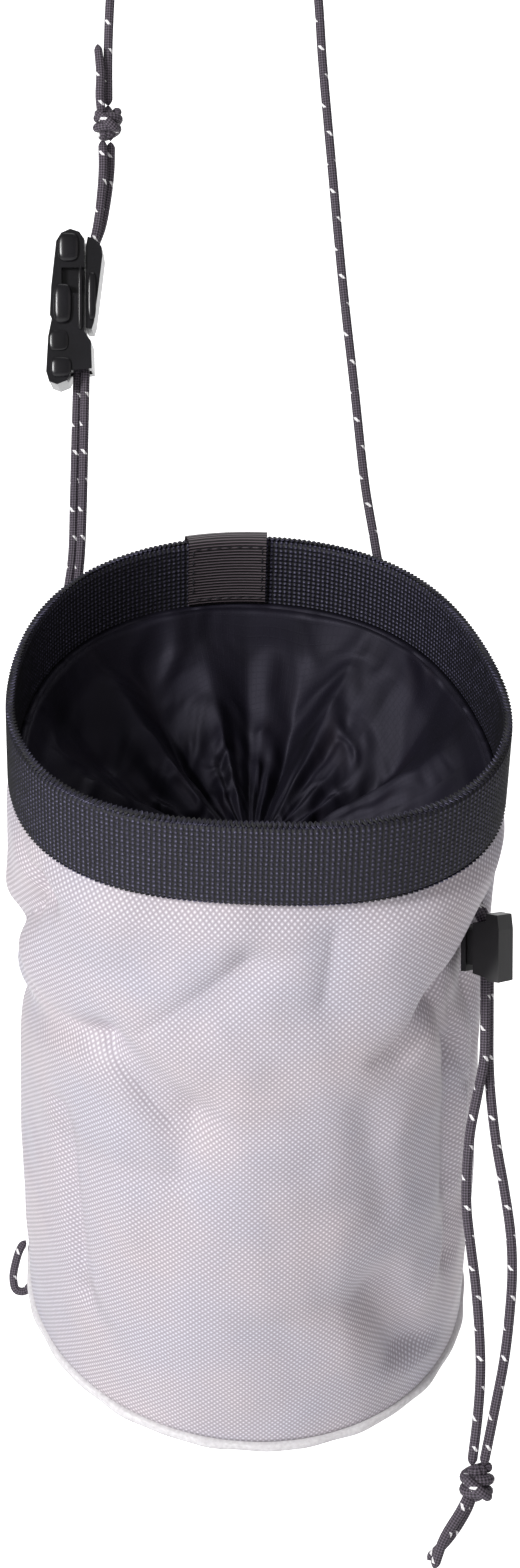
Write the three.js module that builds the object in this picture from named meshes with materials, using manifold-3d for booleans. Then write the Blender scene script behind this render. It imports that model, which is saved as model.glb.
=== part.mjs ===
// A climber's chalk bag that hangs forward from its belt cord, mouth towards the viewer.
// Millimetres, +Z up, +X to the viewer's right, -Y towards the viewer.
// The origin is the top of the belt cord's loop, where the bag hangs.

import * as THREE from "three";
import { mergeVertices } from "three/addons/utils/BufferGeometryUtils.js";
import Module from "manifold-3d";

const wasm = await Module();
wasm.setup();

// Driving dimensions: the bag
const RIM_RADIUS = 59.5; // outside of the rim band
const BODY_HEIGHT = 190; // rim plane to base
const BASE_RADIUS = 58.5; // outside of the cloth wall at the base
const CLOTH_WALL = 1.2;
const BAND_HEIGHT = 20;
const BAND_WALL = 2;
const BAND_OVERLAP = 3; // the wall and the lining reach this far up inside the band
const GAP = 0.3; // clearance between pieces that touch
const HANG_TILT = THREE.MathUtils.degToRad(38);
const SAG_FRONT = 12; // the base's shift towards the viewer, under its own weight
const SAG_SIDE = 2.7;
const SAG_BEND = 0.8; // power of the shift's growth down the bag
const BASE_SKEW = 4.5; // the base hangs this much lower at +X, and higher at -X
const BACK_ANGLE = 97; // degrees round the rim, of the ribbon tab and the belt tunnel

// Driving dimensions: the drawn collar
const LINING_WALL = 1;
const LINING_DEPTH = 36; // lining's sewn edge to the drawn neck
const NECK_RADIUS = 6;
const NECK_SHIFT_Y = 5; // the neck lies this far behind the bag's middle

// Driving dimensions: the trims
const TAB_WIDTH = 20;
const TAB_WALL = 1.2;
const TAB_OUTSIDE = 6.5; // leg behind the band
const TUNNEL_TOP = 8; // below the rim plane
const TUNNEL_BOTTOM = 20;
const TUNNEL_DEEP = 4.2; // room for the cord behind the band
const TUNNEL_WALL = 1.2;
const TUNNEL_REACH = 30; // degrees each way from the back
const SEAM_PROUD = 1; // the base seam stands out from the wall
const SEAM_HEIGHT = 2.4;
const SEAM_INSIDE = 2.6; // and reaches this far in under it
const BASE_LIFT = 2.2; // base cloth above the wall's lower edge

// Driving dimensions: the cords and the hard pieces
const BELT_CORD = 2.3; // diameter
const DRAW_CORD = 2.4;
const LOOP_CORD = 2.2;
const BUCKLE_DEPTH = 14;
const FRAME_INSET = 2; // the buckle's frame is this much shallower than its hook
const BUCKLE_X = -34.75;
const BUCKLE_Z = -121;
const POCKET_ROOM = 0.35; // round the cords where they enter a hard piece
const LOCK_X = 65.6;
const LOCK_Y = -37;
const LOCK_Z = -278.8;
const LOCK_TURN = THREE.MathUtils.degToRad(-23);
const LOCK_DEPTH = 11;
const LOCK_TOP = 6; // cord block, above its middle
const LOCK_SKIRT = 8.2; // outer shell, above and below its middle
const PLUNGER_TRAVEL = 1.8;
const CORD_PITCH = 2.7; // middle to middle of two cords side by side
const EXIT_ROOM = 1.2; // round the two draw cords in their hole through the wall
const EXIT_LENGTH = 14; // the cutter of that hole, longer than the wall is thick
const EXIT_SIDES = 12;

// How fine the meshes are
const AROUND = 60;
const WALL_ROWS = 16;
const CORD_SIDES = 8;
const KNOT_SIDES = 6;

// Placed in the hanging position
const RIM_CENTRE = new THREE.Vector3(10.5, -48.3, -215.2);

// How far the rim is from a circle: lobes round it, share of its radius, and where one lobe points.
const RIM_LOBES = [
  { lobes: 2, share: 0.0285, turn: -49 },
  { lobes: 3, share: 0.037, turn: -31 },
  { lobes: 4, share: 0.025, turn: -43 },
];
const LOBES_END = 0.75; // share of the height where the wall is round again

// Wall from the rim plane to the base: down as a share of BODY_HEIGHT,
// and how much wider than the straight line from RIM_RADIUS to BASE_RADIUS, as a share of RIM_RADIUS.
const WALL_PROFILE = [
  { down: 0.0, wider: 0.01 },
  { down: 0.16, wider: 0.013 },
  { down: 0.3, wider: 0.0 },
  { down: 0.47, wider: -0.014 },
  { down: 0.77, wider: 0.01 },
  { down: 1.0, wider: 0.0 },
];

// Folds of the wall: from one angle and share of the height to another,
// half width and depth as shares of RIM_RADIUS. A ridge has a negative depth.
const WALL_FOLDS = [
  { from: [-158, 0.12], to: [-143, 0.18], wide: 0.06, deep: 0.035 },
  { from: [-143, 0.18], to: [-188, 0.43], wide: 0.085, deep: 0.05 },
  { from: [-165, 0.27], to: [-152, 0.3], wide: 0.14, deep: -0.03 },
  { from: [-195, 0.5], to: [-126, 0.355], wide: 0.085, deep: 0.045 },
  { from: [-126, 0.355], to: [-104, 0.44], wide: 0.1, deep: 0.045 },
  { from: [-104, 0.44], to: [-107, 0.54], wide: 0.1, deep: 0.028 },
  { from: [-90, 0.2], to: [-104, 0.29], wide: 0.1, deep: 0.028 },
  { from: [-142, 0.527], to: [-134, 0.82], wide: 0.06, deep: 0.035 },
  { from: [-70, 0.12], to: [-70, 0.26], wide: 0.14, deep: 0.02 },
  { from: [-42, 0.3], to: [-22, 0.26], wide: 0.11, deep: 0.085 },
  { from: [-27, 0.26], to: [-25, 0.36], wide: 0.18, deep: 0.1 },
  { from: [-42, 0.3], to: [-54, 0.36], wide: 0.085, deep: 0.04 },
  { from: [-42, 0.3], to: [-31, 0.45], wide: 0.085, deep: 0.05 },
  { from: [-33, 0.44], to: [-28, 0.8], wide: 0.08, deep: 0.045 },
  { from: [-58, 0.76], to: [-40, 0.95], wide: 0.15, deep: 0.045 },
  { from: [25, 0.3], to: [12, 0.68], wide: 0.12, deep: 0.04 },
  { from: [62, 0.22], to: [78, 0.5], wide: 0.12, deep: 0.045 },
  { from: [122, 0.28], to: [104, 0.62], wide: 0.13, deep: 0.04 },
  { from: [150, 0.5], to: [163, 0.82], wide: 0.11, deep: 0.04 },
  { from: [92, 0.6], to: [92, 0.85], wide: 0.16, deep: -0.025 },
];
// Shares of the height that the folds stay within
const FOLD_FREE = { top: 0.115, bottom: 0.96, ease: 0.05 };

// The lining's funnel: reach as a share of the way from its sewn edge to the neck,
// drop as a share of LINING_DEPTH, and lean, the degrees from straight down, away from the middle,
// at which its lower face lies from its upper one.
const FUNNEL = [
  { reach: 0.0, drop: 0.0, lean: 90 },
  { reach: 0.08, drop: 0.22, lean: 60 },
  { reach: 0.28, drop: 0.5, lean: 38 },
  { reach: 0.52, drop: 0.72, lean: 28 },
  { reach: 0.78, drop: 0.88, lean: 20 },
  { reach: 1.0, drop: 1.0, lean: 18 },
];
// Its pleats: angle and half width in degrees, height as a share of LINING_DEPTH. A valley is negative.
const PLEATS = [
  { angle: 152, wide: 9, high: -0.16 },
  { angle: 134, wide: 7, high: 0.12 },
  { angle: 122, wide: 7, high: -0.18 },
  { angle: 104, wide: 8, high: 0.1 },
  { angle: 92, wide: 6, high: -0.12 },
  { angle: 76, wide: 8, high: -0.2 },
  { angle: 60, wide: 8, high: 0.16 },
  { angle: 44, wide: 7, high: 0.06 },
  { angle: 28, wide: 8, high: -0.18 },
  { angle: 8, wide: 10, high: 0.16 },
  { angle: -14, wide: 8, high: -0.16 },
  { angle: -36, wide: 10, high: 0.12 },
  { angle: -60, wide: 9, high: -0.16 },
  { angle: -84, wide: 10, high: 0.12 },
  { angle: -108, wide: 9, high: -0.14 },
  { angle: -134, wide: 11, high: 0.14 },
  { angle: -160, wide: 9, high: -0.14 },
  { angle: 176, wide: 8, high: 0.12 },
];

// Routes of the cords, by their middle, in the hanging frame
const BELT_ROUTE = [
  [-30.6, -2.2, -196.7],
  [-27.4, -0.2, -195.2],
  [-21.8, 2.7, -192.9],
  [-14.8, 5.4, -190.9],
  [-6.3, 7.5, -189.3],
  [2.5, 8.6, -188.5],
  [11.3, 8.7, -188.4],
  [20, 7.9, -189.1],
  [27.4, 6.5, -190.3],
  [33.4, 4.6, -191.8],
  [37.8, 3.3, -192.3],
  [40.7, 2.7, -190],
  [41.4, 2.3, -186],
  [40.4, 1.9, -179],
  [38.0, 1.2, -165],
  [35.2, 0.6, -140],
  [32.4, 0.2, -115],
  [29.6, 0, -85],
  [27.2, 0, -58],
  [26.2, 0, -42.9],
  [24.6, 0, -28],
  [19.6, 0, -12.8],
  [10.6, 0, -2.9],
  [0, 0, 0],
  [-10.6, 0, -2.9],
  [-19.6, 0, -12.8],
  [-25.2, 0, -28],
  [-26.2, 0, -42.9],
  [-26.7, 0, -56],
  [-26.7, 0, -69.6],
];
const UPPER_ROUTES = {
  belt_upper_front: [
    [-28.0, -0.9, -78.2],
    [-27.9, -1.1, -86],
    [-28.5, -1.3, -94],
    [-29.3, -1.35, -100],
    [-30.2, -1.35, -104.6],
    [-30.4, -1.35, -109.4],
  ],
  belt_upper_rear: [
    [-26.1, 1.3, -78.2],
    [-26.3, 1.3, -86],
    [-27.3, 1.35, -94],
    [-28.5, 1.35, -100],
    [-30.1, 1.35, -104.6],
    [-30.4, 1.35, -109.4],
  ],
};
const LOWER_ROUTES = {
  belt_lower_front: [
    [-32.2, -1.35, -131.6],
    [-32.4, -1.4, -140],
    [-32.7, -1.6, -155],
    [-33.0, -2.2, -170],
    [-33.5, -2.6, -183],
    [-34.6, -2.3, -193.4],
  ],
  belt_lower_rear: [
    [-34.2, 1.35, -131.6],
    [-34.5, 1.2, -140],
    [-34.9, 0.8, -155],
    [-35.2, -0.2, -170],
    [-35.6, -0.8, -183],
    [-36.9, -2.6, -193.4],
  ],
};
const DRAW_ROUTES = {
  draw_cord_left: [
    [55.6, -34.4, -262.4],
    [59.4, -35.9, -265.4],
    [62.5, -37.2, -268.8],
    [64.3, -37.9, -272.2],
    [65, -38.2, -275.8],
    [65.07, -38.24, -280],
    [65.07, -38.24, -287.4],
    [65, -38.3, -297],
    [64.7, -38.2, -306],
    [63.2, -38, -314],
    [61.5, -37.8, -323],
    [60.7, -37.6, -333],
    [60.7, -37.5, -341],
    [61.6, -37.4, -349.5],
    [62.8, -37.3, -359],
    [63.7, -37.2, -370],
    [64, -37.1, -380],
    [63.4, -37, -390],
    [61.9, -37, -402.4],
  ],
  draw_cord_right: [
    [56.7, -31.9, -262.4],
    [60.5, -33.4, -265.4],
    [63.6, -34.7, -268.8],
    [65.4, -35.4, -272.2],
    [66.1, -35.7, -275.8],
    [66.13, -35.76, -280],
    [66.13, -35.76, -287.4],
    [66.1, -35.7, -297],
    [66.1, -35.8, -306],
    [66.6, -36, -315],
    [67.9, -36.2, -326],
    [69.8, -36.4, -337],
    [71.2, -36.6, -347],
    [71.6, -36.7, -356],
    [71, -36.8, -366],
    [69.7, -36.9, -377],
    [67.4, -37, -389],
    [64.7, -37, -402.4],
  ],
};
const BRUSH_ROUTE = [
  [-52.3, 58.5, -364.2],
  [-53.9, 58.5, -366.8],
  [-55.1, 58.5, -370.6],
  [-55.7, 58.6, -374.6],
  [-54.9, 58.8, -377.8],
  [-52.6, 59.2, -378.2],
  [-50.4, 59.6, -375.6],
];

// Materials
const material = (color, roughness) => new THREE.MeshStandardMaterial({ color, roughness, metalness: 0 });
const DOBBY = material(0xd6d1d6, 0.7);
const SEAM_TAPE = material(0xdddbdd, 0.6);
const WEBBING = material(0x2d2b37, 0.8);
const RIPSTOP = material(0x1c1a24, 0.65);
const RIBBON = material(0x2b2729, 0.7);
const BRAID = material(0x453d47, 0.8);
const ACETAL = material(0x17161a, 0.3);

// Solids from closed meshes, and back
function weld(geometry) {
  const bare = geometry.index ? geometry.toNonIndexed() : geometry.clone();
  bare.deleteAttribute("normal");
  bare.deleteAttribute("uv");
  const welded = mergeVertices(bare, 1e-4);
  const corners = welded.index.array;
  const kept = [];
  for (let i = 0; i < corners.length; i += 3) {
    const [a, b, c] = corners.slice(i, i + 3);
    if (a !== b && b !== c && c !== a) kept.push(a, b, c);
  }
  welded.setIndex(kept);
  return welded;
}

function toSolid(geometry) {
  const welded = weld(geometry);
  return new wasm.Manifold(
    new wasm.Mesh({
      numProp: 3,
      vertProperties: new Float32Array(welded.attributes.position.array),
      triVerts: new Uint32Array(welded.index.array),
    }),
  );
}

function toGeometry(solid) {
  const made = solid.getMesh();
  const positions = new Float32Array(made.numVert * 3);
  for (let i = 0; i < made.numVert; i++) {
    const start = i * made.numProp;
    positions.set(made.vertProperties.subarray(start, start + 3), i * 3);
  }
  const geometry = new THREE.BufferGeometry();
  geometry.setAttribute("position", new THREE.BufferAttribute(positions, 3));
  geometry.setIndex(new THREE.BufferAttribute(new Uint32Array(made.triVerts), 1));
  return geometry;
}

function joined(geometries) {
  return toGeometry(geometries.map(toSolid).reduce((all, next) => all.add(next)));
}

function cut(geometry, tools) {
  return toGeometry(tools.map(toSolid).reduce((left, tool) => left.subtract(tool), toSolid(geometry)));
}

function named(name, geometry, finish) {
  const shown = geometry.index ? geometry.toNonIndexed() : geometry.clone();
  shown.computeVertexNormals();
  const mesh = new THREE.Mesh(shown, finish);
  mesh.name = name;
  return mesh;
}

// Shared forms of the bag
const radians = THREE.MathUtils.degToRad;
const clamp = THREE.MathUtils.clamp;
const easeStep = (value, from, to) => THREE.MathUtils.smoothstep(value, from, to);

// Reads a table's column at a place on another, in smooth steps between its rows.
function alongTable(rows, at, place, value) {
  const last = rows.length - 1;
  if (place <= rows[0][at]) return rows[0][value];
  if (place >= rows[last][at]) return rows[last][value];
  const next = rows.findIndex((row) => row[at] > place);
  const before = rows[next - 1];
  const share = (place - before[at]) / (rows[next][at] - before[at]);
  return THREE.MathUtils.lerp(before[value], rows[next][value], share * share * (3 - 2 * share));
}

// How much larger the radius is at an angle than a circle's.
function outOfRound(angle, down) {
  const fade = 1 - easeStep(down, 0, LOBES_END);
  const lobe = (row) => row.share * Math.cos(row.lobes * radians(angle - row.turn));
  return 1 + fade * RIM_LOBES.reduce((sum, row) => sum + lobe(row), 0);
}

// A point of the bag from its angle, radius and depth below the rim plane.
function bagPoint(angle, radius, depth) {
  const down = clamp(depth / BODY_HEIGHT, 0, 1.2);
  const shift = down ** SAG_BEND;
  const x = radius * Math.cos(radians(angle));
  const y = radius * Math.sin(radians(angle));
  const skew = BASE_SKEW * (x / RIM_RADIUS) * down;
  return new THREE.Vector3(x - SAG_SIDE * shift, y - SAG_FRONT * shift, -depth - skew);
}

// Depth of one fold at a place on the wall.
function foldAt(fold, angle, down) {
  const across = radians(1) * RIM_RADIUS;
  const ax = fold.from[0] * across;
  const ay = fold.from[1] * BODY_HEIGHT;
  const bx = (fold.to[0] - fold.from[0]) * across;
  const by = (fold.to[1] - fold.from[1]) * BODY_HEIGHT;
  const py = down * BODY_HEIGHT - ay;
  const nearest = (turn) => {
    const px = (angle + turn) * across - ax;
    const along = clamp((px * bx + py * by) / (bx * bx + by * by), 0, 1);
    return Math.hypot(px - along * bx, py - along * by);
  };
  const away = Math.min(nearest(0), nearest(-360), nearest(360));
  return fold.deep * RIM_RADIUS * Math.exp(-((away / (fold.wide * RIM_RADIUS)) ** 2));
}

// Outside radius of the cloth wall.
function wallRadius(angle, down) {
  const tucked = RIM_RADIUS - BAND_WALL - GAP;
  const wider = RIM_RADIUS * alongTable(WALL_PROFILE, "down", down, "wider");
  const round = THREE.MathUtils.lerp(RIM_RADIUS, BASE_RADIUS, down) + wider;
  const bandEnd = (BAND_HEIGHT + GAP) / BODY_HEIGHT;
  const out = easeStep(down, bandEnd, bandEnd * 1.45);
  const { top, bottom, ease } = FOLD_FREE;
  const free = easeStep(down, top, top + ease) * (1 - easeStep(down, bottom - ease, bottom));
  const dent = WALL_FOLDS.reduce((sum, fold) => sum + foldAt(fold, angle, down), 0);
  return THREE.MathUtils.lerp(tucked, round, out) * outOfRound(angle, down) - free * dent;
}

// A closed solid swept round the bag. sectionAt(angle) gives its outline as points of the bag,
// and whole says whether it closes on itself.
function sweptRound(sectionAt, angles, whole) {
  const rings = angles.map(sectionAt);
  const corners = rings[0].length;
  const positions = [];
  const face = (...points) => points.forEach((p) => positions.push(p.x, p.y, p.z));
  const spans = whole ? rings.length : rings.length - 1;
  for (let i = 0; i < spans; i++) {
    const here = rings[i];
    const next = rings[(i + 1) % rings.length];
    for (let j = 0; j < corners; j++) {
      const k = (j + 1) % corners;
      if (j < corners / 2) {
        face(here[j], next[j], next[k]);
        face(here[j], next[k], here[k]);
      } else {
        face(here[j], next[j], here[k]);
        face(next[j], next[k], here[k]);
      }
    }
  }
  if (!whole) {
    const flat = rings[0].map((p) => new THREE.Vector2(Math.hypot(p.x, p.y), p.z));
    const last = rings[rings.length - 1];
    const turned = THREE.ShapeUtils.area(flat) < 0;
    for (const [a, b, c] of THREE.ShapeUtils.triangulateShape(flat, [])) {
      const [first, second] = turned ? [c, b] : [b, c];
      face(rings[0][a], rings[0][first], rings[0][second]);
      face(last[a], last[second], last[first]);
    }
  }
  const geometry = new THREE.BufferGeometry();
  geometry.setAttribute("position", new THREE.Float32BufferAttribute(positions, 3));
  const solid = toSolid(geometry);
  if (solid.volume() > 0) return toGeometry(solid);
  for (let i = 0; i < positions.length; i += 9) {
    const second = positions.slice(i + 3, i + 6);
    positions.splice(i + 3, 6, ...positions.slice(i + 6, i + 9), ...second);
  }
  geometry.setAttribute("position", new THREE.Float32BufferAttribute(positions, 3));
  return weld(geometry);
}

const fullTurn = Array.from({ length: AROUND }, (_, i) => (360 * i) / AROUND);
const arc = (middle, reach, steps) =>
  Array.from({ length: steps + 1 }, (_, i) => middle - reach + (2 * reach * i) / steps);

// A strip that follows the rim: section rows hold the distance out from RIM_RADIUS and the depth.
const rimPoint = (angle, out, depth) =>
  bagPoint(angle, RIM_RADIUS * outOfRound(angle, depth / BODY_HEIGHT) + out, depth);
const rimSection = (rows) => (angle) => rows.map(([out, depth]) => rimPoint(angle, out, depth));

// The bag's pieces
function bodyShell() {
  const depths = [BAND_HEIGHT - BAND_OVERLAP];
  for (let i = 0; i < WALL_ROWS; i++) {
    depths.push(THREE.MathUtils.lerp(BAND_HEIGHT + GAP, BODY_HEIGHT, i / (WALL_ROWS - 1)));
  }
  const skin = (angle, inset) => (depth) =>
    bagPoint(angle, wallRadius(angle, depth / BODY_HEIGHT) - inset, depth);
  const section = (angle) => [
    ...depths.map(skin(angle, 0)),
    ...[...depths].reverse().map(skin(angle, CLOTH_WALL)),
  ];
  const wall = sweptRound(section, fullTurn, true);
  return cut(wall, [drawExit()]);
}

// The hole through the wall that both strands of the draw cord leave by, along the start of their routes.
function drawExit() {
  const radius = CORD_PITCH / 2 + DRAW_CORD / 2 + EXIT_ROOM;
  const hole = new THREE.CylinderGeometry(radius, radius, EXIT_LENGTH, EXIT_SIDES);
  const routes = Object.values(DRAW_ROUTES).map((route) => route.map((p) => new THREE.Vector3(...p)));
  const middle = (i) => routes[0][i].clone().add(routes[1][i]).multiplyScalar(0.5);
  const along = middle(2).sub(middle(0)).normalize();
  hole.applyQuaternion(new THREE.Quaternion().setFromUnitVectors(new THREE.Vector3(0, 1, 0), along));
  hole.translate(...middle(1).sub(RIM_CENTRE).toArray());
  hole.applyMatrix4(new THREE.Matrix4().makeRotationX(-HANG_TILT));
  return hole;
}

function rimBand() {
  const crown = 0.5; // the folded top edge is rounded by this much
  const rows = [
    [0, crown],
    [0, BAND_HEIGHT / 2],
    [0, BAND_HEIGHT],
    [-BAND_WALL, BAND_HEIGHT],
    [-BAND_WALL, crown],
    [-BAND_WALL / 2, 0],
  ];
  return sweptRound(rimSection(rows), fullTurn, true);
}

// Height of the lining's pleats at an angle, strongest half way to the neck.
function pleatAt(angle, reach) {
  const swing = Math.sin(Math.PI * clamp(reach, 0, 1) ** 0.8);
  const one = ({ angle: middle, wide, high }) => {
    const away = ((angle - middle + 540) % 360) - 180;
    return high * Math.exp(-((away / wide) ** 2));
  };
  return LINING_DEPTH * swing * PLEATS.reduce((sum, pleat) => sum + one(pleat), 0);
}

// A point of the lining's upper face, or of its lower one.
function liningPoint(angle, row, below) {
  const start = BAND_HEIGHT - BAND_OVERLAP;
  const edge = RIM_RADIUS - BAND_WALL - CLOTH_WALL - 2 * GAP;
  const outer = edge * outOfRound(angle, start / BODY_HEIGHT) - LINING_WALL;
  const radius = THREE.MathUtils.lerp(outer, NECK_RADIUS, row.reach);
  const drop = row.drop * LINING_DEPTH - pleatAt(angle, row.reach);
  const wall = below ? LINING_WALL : 0;
  const lean = radians(row.lean);
  const point = bagPoint(angle, radius + wall * Math.sin(lean), start + drop + wall * Math.cos(lean));
  point.y += NECK_SHIFT_Y * row.reach;
  return point;
}

function liningCollar() {
  const section = (angle) => [
    ...FUNNEL.map((row) => liningPoint(angle, row, false)),
    ...[...FUNNEL].reverse().map((row) => liningPoint(angle, row, true)),
  ];
  return sweptRound(section, fullTurn, true);
}

// The base seam's lower ring, folded out from under the wall.
function baseSeam() {
  const section = (angle) => {
    const edge = wallRadius(angle, 1);
    const rows = [
      [edge + SEAM_PROUD, BODY_HEIGHT + GAP],
      [edge + SEAM_PROUD, BODY_HEIGHT + GAP + SEAM_HEIGHT],
      [edge - SEAM_INSIDE, BODY_HEIGHT + GAP + SEAM_HEIGHT],
      [edge - SEAM_INSIDE, BODY_HEIGHT + GAP],
    ];
    return rows.map(([radius, depth]) => bagPoint(angle, radius, depth));
  };
  return sweptRound(section, fullTurn, true);
}

function basePanel() {
  const section = (angle) => {
    const edge = wallRadius(angle, 1) - CLOTH_WALL - GAP;
    const rows = [
      [0, BODY_HEIGHT - BASE_LIFT],
      [edge, BODY_HEIGHT - BASE_LIFT],
      [edge, BODY_HEIGHT - BASE_LIFT + CLOTH_WALL],
      [0, BODY_HEIGHT - BASE_LIFT + CLOTH_WALL],
    ];
    return rows.map(([radius, depth]) => bagPoint(angle, radius, depth));
  };
  return sweptRound(section, fullTurn, true);
}

function ribbonTab() {
  const near = GAP;
  const far = GAP + TAB_WALL;
  const insideEnd = BAND_HEIGHT - BAND_OVERLAP - GAP; // just over the lining's sewn edge
  const rows = [
    [near, TAB_OUTSIDE],
    [far, TAB_OUTSIDE],
    [far, 0],
    [far - TAB_WALL, -far],
    [-BAND_WALL - near, -far],
    [-BAND_WALL - far, 0],
    [-BAND_WALL - far, insideEnd],
    [-BAND_WALL - near, insideEnd],
    [-BAND_WALL - near, -near],
    [near, -near],
  ];
  const reach = THREE.MathUtils.radToDeg(TAB_WIDTH / 2 / RIM_RADIUS);
  return sweptRound(rimSection(rows), arc(BACK_ANGLE, reach, 4), false);
}

// The webbing behind the band that the belt cord runs through.
function beltTunnel() {
  const inner = GAP + TUNNEL_DEEP;
  const outer = inner + TUNNEL_WALL;
  const slope = 2; // its long edges come back to the band over this height
  const lip = TUNNEL_WALL * 1.4; // a sloping edge is this high
  const rows = [
    [GAP, TUNNEL_TOP],
    [outer, TUNNEL_TOP + slope],
    [outer, TUNNEL_BOTTOM - slope],
    [GAP, TUNNEL_BOTTOM],
    [GAP, TUNNEL_BOTTOM - lip],
    [inner, TUNNEL_BOTTOM - slope - TUNNEL_WALL / 2],
    [inner, TUNNEL_TOP + slope + TUNNEL_WALL / 2],
    [GAP, TUNNEL_TOP + lip],
  ];
  return sweptRound(rimSection(rows), arc(BACK_ANGLE, TUNNEL_REACH, 12), false);
}

// Cords and knots
function circleShape(radius, sides) {
  const shape = new THREE.Shape();
  for (let i = 0; i < sides; i++) {
    const a = (2 * Math.PI * i) / sides;
    shape[i ? "lineTo" : "moveTo"](radius * Math.cos(a), radius * Math.sin(a));
  }
  shape.closePath();
  return shape;
}

function cordAlong(points, diameter, stepsPerPoint = 1.6) {
  const path = new THREE.CatmullRomCurve3(points.map((p) => new THREE.Vector3(...p)));
  return new THREE.ExtrudeGeometry(circleShape(diameter / 2, CORD_SIDES), {
    steps: Math.round((points.length - 1) * stepsPerPoint),
    extrudePath: path,
    bevelEnabled: false,
    curveSegments: 1,
  });
}

// A tied knot, as shares of its cord's diameter
const KNOT = { core: 1.25, reach: 1.15, thick: 1.08, rise: 1.05, aside: 0.12 };

// One turn of cord round a knot.
function knotTurn(radius, diameter, lean, height, aside) {
  const turn = new THREE.TorusGeometry(radius, diameter / 2, KNOT_SIDES, 10);
  turn.rotateY(lean);
  turn.translate(aside, 0, height);
  return turn;
}

function knot({ diameter, turns, lean, tails, tailDiameter }) {
  const core = new THREE.SphereGeometry(diameter * KNOT.core, 10, 6);
  core.rotateX(Math.PI / 2);
  const wraps = Array.from({ length: turns }, (_, i) => {
    const height = (i - (turns - 1) / 2) * diameter * KNOT.rise;
    const aside = diameter * KNOT.aside * (i % 2 ? 1 : -1);
    return knotTurn(diameter * KNOT.reach, diameter * KNOT.thick, lean, height, aside);
  });
  const ends = tails.map((tail) => cordAlong(tail, tailDiameter));
  return joined([core, ...wraps, ...ends]);
}

// The buckle, edge on: outlines by their corners from its middle
const HOOK_OUTLINE = [
  [2.5, 16.75],
  [1.25, 18.5],
  [-1, 19.25],
  [-3.25, 18.25],
  [-4.5, 16.25],
  [-5.75, 5],
  [-6.1, -2.2],
  [-5.6, -3],
  [-6.5, -7.5],
  [-7, -16.25],
  [-6.25, -18.75],
  [-4.25, -19.5],
  [-1.75, -18.5],
  [-0.75, -16],
  [4.4, -15.5],
  [4.2, -8.75],
  [2.5, -6.25],
];
const FRAME_OUTLINE = [
  [2.5 + GAP, 15],
  [3.3, 17.5],
  [5.25, 16.75],
  [6.75, 15],
  [7, 13],
  [6.25, 6.75],
  [4.9, -3.75],
  [4.3, -5.6],
  [2.5 + GAP, -5.4],
];

function platedOutline(outline, depth) {
  const shape = new THREE.Shape(outline.map(([x, z]) => new THREE.Vector2(x, z)));
  const plate = new THREE.ExtrudeGeometry(shape, { depth, bevelEnabled: false });
  plate.rotateX(Math.PI / 2);
  plate.translate(0, depth / 2, 0);
  return plate;
}

function block(from, to) {
  const size = to.map((value, i) => value - from[i]);
  const made = new THREE.BoxGeometry(...size);
  made.translate(...from.map((value, i) => value + size[i] / 2));
  return made;
}

const BUCKLE_ROOM = BELT_CORD / 2 + POCKET_ROOM; // from a cord's middle to its pocket's side
const POCKET_HALF = CORD_PITCH / 2 + BUCKLE_ROOM; // both cords, one behind the other
const HOOK_POCKET = { left: 0.55, right: 2.55, low: -18, top: -9.6 };
const FRAME_POCKET = { middle: 4.5, low: 10.8, top: 19 };
const HOOK_GROOVE = { left: -3.2, right: 2.6, low: 3.2, top: 9.6, deep: 2 };

function buckleHook() {
  const { left, right, low, top } = HOOK_POCKET;
  const pocket = block([left - BUCKLE_ROOM, -POCKET_HALF, low], [right + BUCKLE_ROOM, POCKET_HALF, top]);
  const groove = block(
    [HOOK_GROOVE.left, -BUCKLE_DEPTH, HOOK_GROOVE.low],
    [HOOK_GROOVE.right, -BUCKLE_DEPTH / 2 + HOOK_GROOVE.deep, HOOK_GROOVE.top],
  );
  return cut(platedOutline(HOOK_OUTLINE, BUCKLE_DEPTH), [pocket, groove]);
}

function buckleFrame() {
  const { middle, low, top } = FRAME_POCKET;
  const pocket = block([middle - BUCKLE_ROOM, -POCKET_HALF, low], [middle + BUCKLE_ROOM, POCKET_HALF, top]);
  return cut(platedOutline(FRAME_OUTLINE, BUCKLE_DEPTH - FRAME_INSET), [pocket]);
}

// The cord lock: x away from the bag, its two cords pass down through it at x = 0
const LOCK_OUTLINE = [
  [-1.8, LOCK_TOP],
  [1.5, LOCK_TOP + 0.3],
  [1.6, LOCK_SKIRT],
  [4.3, LOCK_SKIRT - 0.4],
  [4.7, LOCK_SKIRT - 4],
  [4.6, -LOCK_SKIRT + 0.1],
  [1.8, -LOCK_SKIRT + 0.4],
  [1.5, -LOCK_TOP - 1],
  [-1.8, -LOCK_TOP],
];
const CORD_ROOM = DRAW_CORD / 2 + POCKET_ROOM;
const SLOT_HALF = CORD_PITCH / 2 + CORD_ROOM;
const STEM_HALF_Y = SLOT_HALF + 0.9;
const STEM_HALF_Z = 4.1;
const STEM_END = CORD_ROOM + 0.8;
const LOCK_BACK = -1.8; // the body's side that the plunger goes in by
const THROUGH = 12; // a cutter reaches this far up and down
const HEAD_WALL = 1.2;
const HEAD_INSET = 0.6; // the plunger's head is this much narrower than the body, each side
const HEAD_LOW = -5.6;
const HEAD_TOP = 5.2;
const STEM_ROOT = 0.4; // the stem starts this far inside the head

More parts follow.
